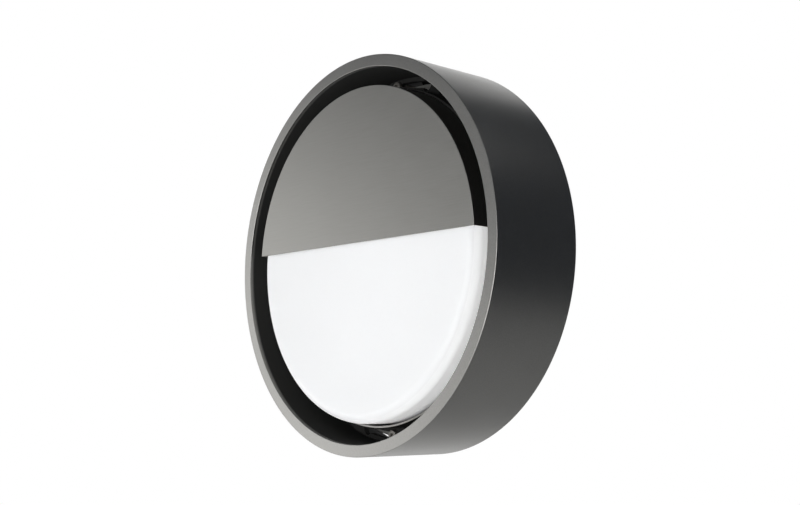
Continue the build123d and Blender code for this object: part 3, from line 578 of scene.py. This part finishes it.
@dataclass(frozen=True)
class FlakeCoat(Finish):
    """Metallic coat sprayed from outside, with dark matt priming in the channel and the inside that
    is also painted shade in these recesses and under the eyelid.

    The dark colour lies within inside_radius, fading in from inside_high down to inside_low off the
    wall. The spray reaches the collar's front, out to collar_radius and from collar_front up, below
    collar_shade_top; above it the collar is darkened as painted shade under the eyelid. All are in
    millimetres.
    """

    # Dark matt colour: priming, and painted shade in the recesses and under the eyelid.
    primer_and_shade_colour: str = "#20201f"
    primer_roughness: float = 0.8
    primer_shine: float = 0.2
    inside_radius: float = 148.6
    inside_low: float = 74.0
    inside_high: float = 77.4
    collar_radius: float = 129.8
    collar_front: float = 54.4
    collar_shade_top: float = 8.4

    def primer_and_shade_share(self, tree: Tree) -> Node:
        """Where the dark priming, which is also painted shade, shows.

        Args:
            tree: The material's node tree.

        Returns:
            A share that is 1 in the dark priming and painted shade, and 0 on the sprayed faces.
        """
        radius, depthwise, upward = from_axis(tree)
        inside = node(tree, "Math", {"operation": "LESS_THAN"}, _0=radius,
                      _1=self.inside_radius * MM)
        sunk_shade = node(tree, "MapRange", {"interpolation_type": "SMOOTHSTEP"}, Value=depthwise,
                    From_Min=-self.inside_high * MM, From_Max=-self.inside_low * MM)
        # The collar's front above collar_shade_top stays dark as painted shade under the eyelid.
        unsprayed_or_shaded, *others = (
            node(tree, "Math", {"operation": "GREATER_THAN"}, _0=value, _1=limit * MM)
            for value, limit in ((radius, self.collar_radius), (depthwise, -self.collar_front),
                                 (upward, self.collar_shade_top)))
        for other in others:
            unsprayed_or_shaded = node(tree, "Math", {"operation": "MAXIMUM"}, _0=unsprayed_or_shaded, _1=other)
        share = inside
        for factor in (sunk_shade, unsprayed_or_shaded):
            share = node(tree, "Math", {"operation": "MULTIPLY"}, _0=share, _1=factor)
        return share

    def material(self) -> bpy.types.Material:
        """Builds the coat and lays dark priming under it, painted shade in the channel, the inside
        and above the eyelid's chord.

        Returns:
            The material.
        """
        made = super().material()
        tree = made.node_tree
        surface = surface_of(tree)
        share = self.primer_and_shade_share(tree)
        coat = surface.inputs["Base Color"].links[0].from_socket
        gloss = surface.inputs["Roughness"].links[0].from_socket
        colour = node(tree, "Mix", {"data_type": "RGBA"}, _0=share, _6=coat,
                      _7=linear(self.primer_and_shade_colour))
        matt = node(tree, "Mix", _0=share, _2=gloss, _3=self.primer_roughness)
        metal = node(tree, "Math", {"operation": "SUBTRACT"}, _0=1.0, _1=share)
        feed(surface, Base_Color=colour.outputs[2], Roughness=matt, Metallic=metal,
             Specular_IOR_Level=self.primer_shine)
        return made


@dataclass(frozen=True)
class CrystalZinc(Finish):
    """Zinc plating: faint crystal facets of slightly different tone."""

    def pattern(self, tree: Tree, place: Socket) -> Node:
        """Cells of even tone, as crystals have."""
        cells = node(tree, "TexVoronoi", Vector=place, Scale=MM_IN_METRE / self.grain)
        return node(tree, "SeparateColor", Color=cells.outputs["Color"])


@dataclass(frozen=True)
class StripedInsulation(Finish):
    """Two-colour wire insulation: slanting bands that repeat every stripe millimetres."""

    second: str = "#e8c92a"
    stripe: float = 27.646
    threshold: float = 0.62

    def second_share(self, tree: Tree, place: Socket) -> Node:
        """The second colour alone in each band."""
        bands = node(tree, "TexWave", {"bands_direction": "DIAGONAL"}, Vector=place,
                     Scale=math.tau * MM_IN_METRE / self.stripe / DIAGONAL_RATE)
        return node(tree, "Math", {"operation": "GREATER_THAN"},
                    _0=bands.outputs["Fac"], _1=self.threshold)


@dataclass(frozen=True)
class MaskedBoard(Finish):
    """White solder mask: copper tracks show through as faint rings, pitch millimetres apart."""

    second: str = "#c9b48a"
    pitch: float = 25.1327
    track_start: float = 0.55
    track_end: float = 0.75
    track_share: float = 0.12

    def second_share(self, tree: Tree, place: Socket) -> Node:
        """A little of the tracks' colour along each ring."""
        rings = node(tree, "TexWave", {"wave_type": "RINGS", "rings_direction": "Y"},
                     Vector=place, Scale=math.tau * MM_IN_METRE / self.pitch / RING_RATE)
        return node(tree, "MapRange", Value=rings.outputs["Fac"],
                    From_Min=self.track_start, From_Max=self.track_end,
                    To_Max=self.track_share)


# The numbers after a colour are roughness, metallic, grain, relief, tone, haze, cloud, cloud_tone.
SLOT_FINISHES: dict[str, Finish] = {
    # Polyester powder coat with metal flake on the casting: a fine satin speckle, drawn at 0.9 mm
    # so that it shows. The channel, the inside and the collar above the eyelid's chord are darker,
    # as painted shade.
    "ring_finish": FlakeCoat(
        "anthracite_metallic_powder_coat", "#8c8b88",
        0.36, 1.0, 0.9, 0.010, 0.07, 0.05, 45.0, 0.015),
    # Aluminium sheet brushed along X and lacquered: hair lines 0.1 mm thick, drawn at 0.7 mm so
    # that they show.
    "eyelid_finish": Finish(
        "brushed_lacquered_aluminium", "#8e8d89",
        0.40, 1.0, 0.7, 0.005, 0.05, 0.05, 70.0, 0.01, (0.03, 1.0, 1.0)),
    # Injection-moulded opal polycarbonate: a satin face with soft, milky shading and a painted
    # glow that lightens its flank.
    "opal": OpalPlastic(
        "opal_polycarbonate", "#f6f6f6",
        0.55, 0.0, 2.5, 0.003, 0.004, 0.02, 80.0, 0.002, painted_glow=0.36),
    # Pressure-cast aluminium, shot blasted: even, dull and slightly pitted.
    "bare_casting": Finish(
        "shot_blasted_cast_aluminium", "#a3a3a0", 0.55, 1.0, 0.8, 0.04, 0.08, 0.08, 25.0, 0.05),
    # Zinc-plated steel: a cool shine broken into crystals.
    "zinc_steel": CrystalZinc("zinc_plated_steel", "#b9b9b2", 0.32, 1.0, 0.9, 0.004, 0.05, 0.06),
    # Bead-blasted stainless steel: dull grey with a fine even texture.
    "stainless": Finish(
        "bead_blasted_stainless_steel", "#96938e", 0.45, 1.0, 0.3, 0.006, 0.05, 0.06, 8.0, 0.03),
    # Steel sheet under white reflector paint: a faint orange peel.
    "white_sheet": Finish(
        "white_painted_steel_sheet", "#f1f1ef", 0.42, 0.0, 2.2, 0.012, 0.008, 0.05),
    # Moulded rubber: matt black with a slight bloom.
    "black_rubber": Finish(
        "moulded_black_rubber", "#1d1d1d", 0.70, 0.0, 0.5, 0.02, 0.12, 0.06, 10.0, 0.06),
    # Closed-cell rubber: small open pores on its skin.
    "grey_rubber": Finish(
        "closed_cell_grey_rubber", "#5a5b5c", 0.82, 0.0, 0.6, 0.08, 0.14, 0.05, 12.0, 0.05),
    # Moulded silicone: waxy, with light just below its skin.
    "silicone": OpalPlastic(
        "translucent_silicone", "#d4d4cf", 0.45, 0.0, 1.2, 0.01, 0.03, 0.05, 20.0, 0.02, depth=2.0),
    # Circuit board under white solder mask: smooth, a little glossy.
    "board_white": MaskedBoard(
        "white_solder_mask", "#efefeb", 0.35, 0.0, 1.5, 0.004, 0.01, 0.04),
    # Silicone filled with phosphor, cast over the chips: a warm, grainy yellow.
    "phosphor": Finish(
        "silicone_phosphor", "#f0cf45", 0.50, 0.0, 0.4, 0.01, 0.06, 0.04, 3.0, 0.04),
    # Moulded polyamide: an off-white satin.
    "nylon_white": Finish(
        "moulded_polyamide", "#e2e1d9", 0.50, 0.0, 0.6, 0.008, 0.02, 0.04, 15.0, 0.01),
    # Moulded polycarbonate shell with a spark-eroded matt texture.
    "driver_plastic": Finish(
        "matt_moulded_polycarbonate", "#e6e6e6", 0.58, 0.0, 0.5, 0.02, 0.02, 0.05, 30.0, 0.01),
    # Turned brass: bright yellow with fine tool marks.
    "brass_insert": Finish(
        "turned_brass", "#c9a357", 0.26, 1.0, 0.3, 0.004, 0.05, 0.06, 6.0, 0.04),
    # Copper sheet dipped in tin: a soft warm grey.
    "tinned_copper": Finish(
        "tinned_copper", "#b8b4aa", 0.34, 1.0, 0.5, 0.006, 0.06, 0.06, 5.0, 0.05),
    # Extruded PVC insulation: even colours with a low sheen.
    "pvc_brown": Finish("brown_pvc_insulation", "#5a3a22", 0.42, 0.0, 0.5, 0.004, 0.04, 0.04),
    "pvc_blue": Finish("blue_pvc_insulation", "#2a55a0", 0.42, 0.0, 0.5, 0.004, 0.04, 0.04),
    "pvc_green_yellow": StripedInsulation(
        "green_yellow_pvc_insulation", "#3d8a3a", 0.42, 0.0, 0.5, 0.004, 0.04),
    "pvc_red": Finish("red_pvc_insulation", "#a31c1c", 0.42, 0.0, 0.5, 0.004, 0.04, 0.04),
    "pvc_black": Finish("black_pvc_insulation", "#1b1b1c", 0.42, 0.0, 0.5, 0.004, 0.06, 0.04),
}


@dataclass
class Wardrobe:
    """Makes each finish once and hands it to the pieces."""

    made: dict[str, bpy.types.Material] = field(default_factory=dict)

    def dress(self, piece: Piece, slot: str) -> None:
        """Gives every face of a piece the finish of a material slot.

        Args:
            piece: The object.
            slot: The record's material slot.
        """
        if slot not in self.made:
            self.made[slot] = SLOT_FINISHES[slot].material()
        piece.data.materials.clear()
        piece.data.materials.append(self.made[slot])

    def mount(self, piece: Piece, body: Body, slot: str, *replaced: str) -> None:
        """Dresses a new piece and puts it on its body in place of the nodes it stands for.

        Args:
            piece: The finished object.
            body: The body that it rides on.
            slot: The record's material slot.
            *replaced: The nodes that it stands for.
        """
        self.dress(piece, slot)
        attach(piece, body.value)
        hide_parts(*replaced)
        LOG.info("%s: %d faces on %s", piece.name, len(piece.data.polygons), body.value)


# ---- Sub-assemblies ----


@dataclass
class RingAssembly:
    """The twist-lock ring casting: lip, outer wall, channel, collar, webs, pads and keyholes.

    A bite is how far an added form reaches into the wall beside it, and a lift how far it starts
    above the floor's back, so that the two join in one casting. A margin is how far a cutter stands
    past what it cuts.
    """

    radius: float = 150.0
    depth: float = 78.0
    wall: float = 2.8
    edge: float = 0.4
    shadow_gap: float = 0.5
    lip_width: float = 8.9
    lip_thickness: float = 3.0
    channel_wall: float = 2.5
    floor_back: float = FLOOR_BACK
    floor_front: float = 33.0
    corner: float = 1.2
    collar_outer: float = 129.3
    collar_wall: float = 1.7
    collar_front: float = 55.0
    web_count: int = 12
    web_thickness: float = 2.0
    web_bite: float = 0.7
    web_lift: float = 0.1
    guide_count: int = 6
    guide_inner: float = 139.3
    guide_thickness: float = 3.0
    guide_low: float = 0.8
    guide_height: float = 9.0
    unlock_turn: float = 14.0
    pad_front: float = 35.0
    pad_bite: float = 0.9
    pad_lift: float = 0.3
    pad_before: float = 7.0
    pad_spare: float = 11.5
    boss_radius: float = 3.5
    boss_lift: float = 0.5
    boss_height: float = 3.0
    entry_radius: float = 4.8
    slot_radius: float = 2.6
    keyhole_margin: float = 3.0
    pilot_radius: float = 1.55
    pilot_margin: float = 1.0
    pilot_height: float = 2.5

    def body(self) -> Piece:
        """Spins the casting's outline.

        Returns:
            The plain ring.
        """
        lip_inner = self.radius - self.lip_width
        lip_back = self.depth - self.lip_thickness
        ring_inner = self.radius - self.wall
        channel_outer = lip_inner + self.channel_wall
        collar_inner = self.collar_outer - self.collar_wall
        return turned("ring_casting", [
            (ring_inner, self.shadow_gap, 0),
            (self.radius, self.shadow_gap, self.edge),
            (self.radius, self.depth, self.edge),
            (lip_inner, self.depth, self.edge),
            (lip_inner, self.floor_front, self.corner),
            (self.collar_outer, self.floor_front, self.corner),
            (self.collar_outer, self.collar_front, self.edge),
            (collar_inner, self.collar_front, self.edge),
            (collar_inner, self.floor_back, 0),
            (channel_outer, self.floor_back, 0),
            (channel_outer, lip_back, 0),
            (ring_inner, lip_back, 0),
        ])

    def bands(self, name: str, inner: float, outer: float, low: float, high: float, before: float,
              sweep: float) -> list[Piece]:
        """Parts of rings that start before each lock angle, with a spin step for each degree."""
        corners = [(inner, low, 0), (outer, low, 0), (outer, high, 0), (inner, high, 0)]
        return [turned(name, corners, round(sweep), angle - before, sweep) for angle in LOCK_ANGLES]

    def additions(self) -> list[Piece]:
        """Models what is joined to the plain ring.

        Returns:
            Webs and guides inside the outer wall, keyhole pads and the eyelid screws' bosses.
        """
        lip_inner = self.radius - self.lip_width
        channel_outer = lip_inner + self.channel_wall
        ring_middle = self.radius - self.wall / 2
        return [
            *slabs("web", channel_outer - self.web_bite, ring_middle, self.web_thickness,
                   self.floor_back + self.web_lift, self.depth - self.lip_thickness / 2,
                   self.web_count),
            *slabs("guide", self.guide_inner, ring_middle, self.guide_thickness, self.guide_low,
                   self.guide_low + self.guide_height, self.guide_count),
            *self.bands("pad", self.collar_outer - self.pad_bite, lip_inner + self.pad_bite,
                        self.floor_back + self.pad_lift, self.pad_front,
                        self.unlock_turn + self.pad_before, self.unlock_turn + self.pad_spare),
            *posts("boss", self.boss_radius, self.floor_back + self.boss_lift,
                   self.floor_front + self.boss_height, FOOT_CIRCLE, FOOT_ANGLES),
        ]

    def keyholes(self) -> list[list[Piece]]:
        """Models the keyholes' cutters.

        Returns:
            Three lots: entries for the heads, slots for the shoulders, and the slots' round ends.
        """
        low, high = self.floor_back - self.keyhole_margin, self.pad_front + self.keyhole_margin
        inner, outer = LOCK_CIRCLE - self.slot_radius, LOCK_CIRCLE + self.slot_radius
        turn = self.unlock_turn
        return [
            posts("entry", self.entry_radius, low, high, LOCK_CIRCLE,
                  [angle - turn for angle in LOCK_ANGLES]),
            self.bands("slot", inner, outer, low, high, turn, turn),
            posts("end", self.slot_radius, low, high, LOCK_CIRCLE, LOCK_ANGLES),
        ]

    def build(self, wardrobe: Wardrobe) -> None:
        """Models, dresses and mounts the casting.

        Args:
            wardrobe: The finishes.
        """
        ring = self.body()
        worked(ring, self.additions(), "UNION")
        for lot in self.keyholes():
            worked(ring, lot, "DIFFERENCE")
        pilots = posts("pilot", self.pilot_radius, self.floor_back - self.pilot_margin,
                       self.floor_front + self.pilot_height, FOOT_CIRCLE, FOOT_ANGLES, HOLE_SIDES)
        worked(ring, pilots, "DIFFERENCE")
        smoothed(ring)
        wardrobe.mount(ring, Body.RING, "ring_finish", "outer_frame")


@dataclass
class EyelidAssembly:
    """The half-disc shade with its skirt and feet. Its chord is the height of its straight edge."""

    front: float = 76.4
    plate: float = 1.0
    skirt_outer: float = 127.2
    skirt_wall: float = 0.8
    edge: float = 0.5
    chord: float = 8.4
    chord_edge: float = 0.15
    chord_segments: int = 2
    foot_back: float = 29.0
    foot_front: float = FLOOR_BACK
    foot_outer: float = 137.7
    foot_width: float = 14.0
    foot_steps: int = 6
    hole_radius: float = 1.7
    hole_margin: float = 1.0

    def shade(self) -> Piece:
        """Spins the shell and cuts it straight along its lower edge.

        Returns:
            The shade without its feet.
        """
        skirt_inner = self.skirt_outer - self.skirt_wall
        plate_back = self.front - self.plate
        lid = turned("eyelid_shade", [
            (0, plate_back, 0),
            (skirt_inner, plate_back, 0),
            (skirt_inner, self.foot_back, 0),
            (self.skirt_outer, self.foot_back, 0),
            (self.skirt_outer, self.front, self.edge),
            (0, self.front, 0),
        ])
        only(lid)
        opened()
        chord, slack = self.chord * MM, OUTLINE_SLACK * MM
        bpy.ops.mesh.bisect(plane_co=(0, 0, chord), plane_no=(0, 0, 1), use_fill=True,
                            clear_inner=True)

        def along_chord(middle: Vector, along: Vector) -> bool:
            """True for the plate's front edge along the chord."""
            in_front = abs(-middle.y / MM - self.front) < HEIGHT_SLACK
            return in_front and abs(middle.z - chord) < slack and abs(along.z) < slack

        pick(lid, "EDGE", along_chord)
        bpy.ops.mesh.bevel(offset=self.chord_edge * MM, segments=self.chord_segments,
                           affect="EDGES", clamp_overlap=False)
        bpy.ops.object.mode_set(mode="OBJECT")
        return lid

    def build(self, wardrobe: Wardrobe) -> None:
        """Models, dresses and mounts the eyelid.

        Args:
            wardrobe: The finishes.
        """
        lid = self.shade()
        half = math.degrees(self.foot_width / 2 / self.foot_outer)
        foot_inner = self.skirt_outer - self.skirt_wall / 2
        corners = [
            (foot_inner, self.foot_back, 0), (self.foot_outer, self.foot_back, 0),
            (self.foot_outer, self.foot_front, 0), (foot_inner, self.foot_front, 0),
        ]
        feet = [turned("foot", corners, self.foot_steps, angle - half, 2 * half)
                for angle in FOOT_ANGLES]
        worked(lid, feet, "UNION")
        holes = posts("hole", self.hole_radius, self.foot_back - self.hole_margin,
                      self.foot_front + self.hole_margin, FOOT_CIRCLE, FOOT_ANGLES, HOLE_SIDES)
        worked(lid, holes, "DIFFERENCE")
        smoothed(lid)
        wardrobe.mount(lid, Body.RING, "eyelid_finish", "eyelid")


@dataclass
class DiffuserAssembly:
    """The opal cup, whose face is crowned: by crown at its middle, and a share of it half-way."""

    radius: float = 126.1
    rim: float = 74.6
    crown: float = 0.5
    crown_share: float = 0.75
    edge: float = 8.0
    edge_segments: int = 12
    wall: float = 2.2
    flange_radius: float = 131.8
    flange_back: float = 16.0
    flange_front: float = 18.5

    def build(self, wardrobe: Wardrobe) -> None:
        """Models, dresses and mounts the cup with its flange.

        Args:
            wardrobe: The finishes.
        """
        inner = self.radius - self.wall
        cup = turned("diffuser_cup", [
            (0, self.rim + self.crown, 0),
            (self.radius / 2, self.rim + self.crown * self.crown_share, 0),
            (self.radius, self.rim, self.edge),
            (self.radius, self.flange_front, 0),
            (self.flange_radius, self.flange_front, 0),
            (self.flange_radius, self.flange_back, 0),
            (inner, self.flange_back, 0),
            (inner, self.rim - self.wall, self.edge - self.wall),
            (0, self.rim - self.wall, 0),
        ], segments=self.edge_segments)
        smoothed(cup)
        wardrobe.mount(cup, Body.BASE, "opal", "diffuser")


@dataclass
class LockAssembly:
    """The two shoulder screws that the ring's keyholes turn onto."""

    head_radius: float = 4.3
    shoulder_radius: float = 2.3
    thread_radius: float = 2.0
    thread_end: float = 24.2
    shoulder_back: float = 30.2
    seat: float = 35.3
    head_height: float = 3.2
    edge: float = 0.8
    edge_share: float = 0.3
    socket_width: float = 3.0
    socket_depth: float = 2.0
    socket_margin: float = 1.0
    names: tuple[str, ...] = ("lock_screw_upper", "lock_screw_lower")

    def screw(self) -> Piece:
        """Extrudes thread, shoulder and head of a screw at angle 0, and cuts its hexagon socket.

        Returns:
            The screw.
        """
        top = self.seat + self.head_height
        step = self.edge * self.edge_share
        centre = at(LOCK_CIRCLE, self.thread_end)
        bpy.ops.mesh.primitive_circle_add(vertices=POST_SIDES, radius=self.thread_radius * MM,
                                          fill_type="NGON", location=centre,
                                          rotation=(math.pi / 2, 0, 0))
        screw = started("lock_screw")
        opened()
        radius, height = self.thread_radius, self.thread_end
        stages = [
            (self.thread_radius, self.shoulder_back), (self.shoulder_radius, self.shoulder_back),
            (self.shoulder_radius, self.seat), (self.head_radius, self.seat),
            (self.head_radius, top - self.edge), (self.head_radius - step, top - step),
            (self.head_radius - self.edge, top),
        ]
        for next_radius, next_height in stages:
            bpy.ops.mesh.extrude_region_move(
                TRANSFORM_OT_translate={"value": (0, -(next_height - height) * MM, 0)})
            bpy.ops.transform.resize(value=(next_radius / radius, 1, next_radius / radius),
                                     center_override=(centre.x, 0, centre.z))
            radius, height = next_radius, next_height
        bpy.ops.mesh.select_all(action="SELECT")
        bpy.ops.mesh.normals_make_consistent(inside=False)
        bpy.ops.object.mode_set(mode="OBJECT")
        corner_radius = self.socket_width / math.sqrt(3)
        socket = posts("socket", corner_radius, top - self.socket_depth, top + self.socket_margin,
                       LOCK_CIRCLE, [0.0], HEXAGON)
        worked(screw, socket, "DIFFERENCE")
        smoothed(screw)
        return screw

    def build(self, wardrobe: Wardrobe) -> None:
        """Models, copies, dresses and mounts the screws.

        Args:
            wardrobe: The finishes.
        """
        screw = self.screw()
        for name, angle in zip(self.names, LOCK_ANGLES):
            wardrobe.mount(copied(screw, name, angle), Body.BASE, "stainless", "lock_screws")
        bpy.data.objects.remove(screw)


@dataclass
class BackAssembly:
    """What shows from behind and is worked more finely than its node: the wall seal."""

    radius: float = 114.5
    width: float = 5.0
    depth: float = 1.6
    edge: float = 0.5
    steps: int = 240

    def build(self, wardrobe: Wardrobe) -> None:
        """Models, dresses and mounts the seal with its rounded edges.

        Args:
            wardrobe: The finishes.
        """
        inner, outer = self.radius - self.width / 2, self.radius + self.width / 2
        seal = turned("wall_seal", [
            (inner, 0, self.edge), (outer, 0, self.edge), (outer, self.depth, 0),
            (inner, self.depth, 0),
        ], self.steps)
        smoothed(seal)
        wardrobe.mount(seal, Body.BASE, "grey_rubber", "wall_gasket")


@dataclass
class CarriedNodes:
    """The nodes that keep their own shape: base, seals, clamp, fasteners, gear and leads."""

    nodes: dict[str, Piece]
    record: dict

    def build(self, wardrobe: Wardrobe) -> None:
        """Gives each node the finish of its material slot.

        Args:
            wardrobe: The finishes.
        """
        for part in self.record["subparts"]:
            wardrobe.dress(self.nodes[part["node"]], part["material_slot"])
            LOG.info("%s: %s", part["node"], part["material_slot"])


# ---- Studio ----


@dataclass(frozen=True)
class Softbox:
    """A soft square lamp aimed at the light.

    Its direction from there is in degrees, with azimuth from the front towards +X. Its power is in
    watts, and its side and distance are in metres.
    """

    name: str
    azimuth: float
    elevation: float
    power: float
    side: float = 0.6
    distance: float = 1.4

    def place(self) -> Vector:
        """The lamp's place."""
        turn, lift = math.radians(self.azimuth), math.radians(self.elevation)
        return self.distance * Vector((math.sin(turn) * math.cos(lift),
                                       -math.cos(turn) * math.cos(lift), math.sin(lift)))

    def build(self) -> None:
        """Adds the lamp."""
        name = f"{self.name}_softbox"
        data = bpy.data.lights.new(name, "AREA")
        data.shape = "SQUARE"
        data.size = self.side
        data.energy = self.power
        lamp = bpy.data.objects.new(name, data)
        lamp.location = self.place()
        lamp.rotation_euler = (Vector() - self.place()).to_track_quat("-Z", "Y").to_euler()
        lamp.visible_camera = False
        bpy.context.scene.collection.objects.link(lamp)


@dataclass
class Studio:
    """Pale floor, white surroundings, a dark hood open to the back left, lamps and the camera.

    Lengths are in metres here, apart from the lens and the sensor, and angles are in degrees. The
    camera sees at least a paler_floor share of white in the floor.
    """

    lens: float = 48.97
    sensor: float = 36.0
    clip: tuple[float, float] = (0.01, 100.0)
    yaw: float = 49.613
    pitch: float = 7.023
    roll: float = 0.6726
    eye: Corner = (0.63751, -0.57457, -0.09831)
    floor_level: float = -0.5
    floor_size: float = 30.0
    floor_cells: int = 8
    floor_colour: str = "#f4f4f3"
    floor_roughness: float = 0.9
    shadow_middle: Corner = (0.9, 0.3, -0.5)
    shadow_fade: tuple[float, float] = (0.85, 1.5)
    paler_floor: float = 0.55
    hood_radius: float = 1.75
    hood_colour: str = "#585c64"
    hood_segments: int = 72
    hood_rings: int = 36
    opening: tuple[float, float] = (195.0, 262.0)
    opening_rise: tuple[float, float] = (4.0, 48.0)
    lamps: tuple[Softbox, ...] = (
        Softbox("front", 0.0, -8.0, 7.6),
        Softbox("camera_side", 30.0, -8.0, 11.3),
        Softbox("low_front_left", 315.0, -8.0, 1.25),
        Softbox("floor_left", 300.0, -20.0, 2.0),
        Softbox("level_left", 300.0, 0.0, 1.0),
        Softbox("raised_left", 300.0, 10.0, 1.25),
        Softbox("back_left", 220.0, 25.0, 0.8),
        Softbox("high_front_left", 330.0, 25.0, 0.45),
        Softbox("high_right", 90.0, 50.0, 1.7),
        Softbox("high_back_right", 120.0, 50.0, 0.5),
        Softbox("back", 180.0, -5.0, 1.6, side=1.0),
    )

    def camera(self) -> None:
        """Places the camera where the photograph was taken from."""
        yaw, pitch, roll = (math.radians(angle) for angle in (self.yaw, self.pitch, self.roll))
        ahead = Vector((-math.sin(yaw) * math.cos(pitch), math.cos(yaw) * math.cos(pitch),
                        math.sin(pitch)))
        level = Vector((math.cos(yaw), math.sin(yaw), 0))
        upward = level.cross(ahead)
        across = math.cos(roll) * level + math.sin(roll) * upward
        upward = -math.sin(roll) * level + math.cos(roll) * upward
        turn = Matrix((across, upward, -ahead)).transposed().to_4x4()
        data = bpy.data.cameras.new("camera")
        data.lens = self.lens
        data.sensor_fit = "HORIZONTAL"
        data.sensor_width = self.sensor
        data.clip_start, data.clip_end = self.clip
        eye = bpy.data.objects.new("camera", data)
        eye.matrix_world = Matrix.Translation(self.eye) @ turn
        bpy.context.scene.collection.objects.link(eye)
        bpy.context.scene.camera = eye

    def floor(self) -> None:
        """Lays the floor: it keeps the light's shadow near by and turns white further off."""
        bpy.ops.mesh.primitive_grid_add(x_subdivisions=self.floor_cells,
                                        y_subdivisions=self.floor_cells, size=self.floor_size,
                                        location=(0, 0, self.floor_level))
        floor = started("floor")
        made = bpy.data.materials.new("pale_floor")
        tree = emptied(made)
        place = node(tree, "TexCoord").outputs["Object"]
        away = node(tree, "VectorMath", {"operation": "DISTANCE"}, _0=place,
                    _1=self.shadow_middle).outputs["Value"]
        near, far = self.shadow_fade
        fade = node(tree, "MapRange", {"interpolation_type": "SMOOTHSTEP"}, Value=away,
                    From_Min=near, From_Max=far)
        rays = node(tree, "LightPath").outputs
        seen = rays["Is Camera Ray"]
        for kind in ("Is Glossy Ray", "Is Transmission Ray"):
            seen = node(tree, "Math", {"operation": "ADD"}, _0=seen, _1=rays[kind])
        white_share, paler = (
            node(tree, "Math", {"operation": "MULTIPLY"}, _0=first, _1=second)
            for first, second in ((fade, seen), (rays["Is Camera Ray"], self.paler_floor)))
        share = node(tree, "Math", {"operation": "MAXIMUM"}, _0=white_share, _1=paler)
        matt = node(tree, "BsdfPrincipled", Base_Color=linear(self.floor_colour),
                    Roughness=self.floor_roughness)
        white = node(tree, "Emission", Color=(1, 1, 1, 1), Strength=1.0)
        mixed = node(tree, "MixShader", Fac=share, _1=matt, _2=white)
        node(tree, "OutputMaterial", Surface=mixed)
        floor.data.materials.append(made)

    def hood(self) -> None:
        """Stands a dark hood over the light: the metal mirrors it, the camera doesn't see it."""
        bpy.ops.mesh.primitive_uv_sphere_add(segments=self.hood_segments,
                                             ring_count=self.hood_rings, radius=self.hood_radius,
                                             location=(0, 0, 0))
        hood = started("dark_hood")
        opened()
        bpy.ops.mesh.bisect(plane_co=(0, 0, self.floor_level), plane_no=(0, 0, 1), clear_inner=True)
        first, last = self.opening
        low, high = self.opening_rise

        def in_opening(middle: Vector, normal: Vector) -> bool:
            """True for a face where the hood is left open."""
            turn, lift = math.atan2(middle.x, -middle.y), math.atan2(middle.z, middle.xy.length)
            return first < math.degrees(turn) % FULL_TURN < last and low < math.degrees(lift) < high

        pick(hood, "FACE", in_opening)
        bpy.ops.mesh.delete(type="FACE")
        bpy.ops.object.mode_set(mode="OBJECT")
        made = bpy.data.materials.new("dark_felt")
        tree = emptied(made)
        felt = node(tree, "BsdfDiffuse", Color=linear(self.hood_colour))
        node(tree, "OutputMaterial", Surface=felt)
        hood.data.materials.append(made)
        hood.visible_camera = False

    def world(self) -> None:
        """Surrounds everything with plain white."""
        world = bpy.data.worlds.new("surroundings")
        bpy.context.scene.world = world
        tree = emptied(world)
        white = node(tree, "Background", Color=(1, 1, 1, 1), Strength=1.0)
        node(tree, "OutputWorld", Surface=white)

    def build(self) -> None:
        """Sets up the whole studio."""
        bpy.context.scene.view_settings.view_transform = "Standard"
        self.camera()
        self.floor()
        self.hood()
        self.world()
        for lamp in self.lamps:
            lamp.build()


def main() -> None:
    """Builds the light and its studio."""
    logging.basicConfig(level=logging.INFO, format="%(name)s %(message)s")
    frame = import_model()
    Studio().build()
    wardrobe = Wardrobe()
    CarriedNodes(frame["nodes"], frame["record"]).build(wardrobe)
    RingAssembly().build(wardrobe)
    EyelidAssembly().build(wardrobe)
    DiffuserAssembly().build(wardrobe)
    LockAssembly().build(wardrobe)
    BackAssembly().build(wardrobe)


if __name__ == "__main__":
    main()
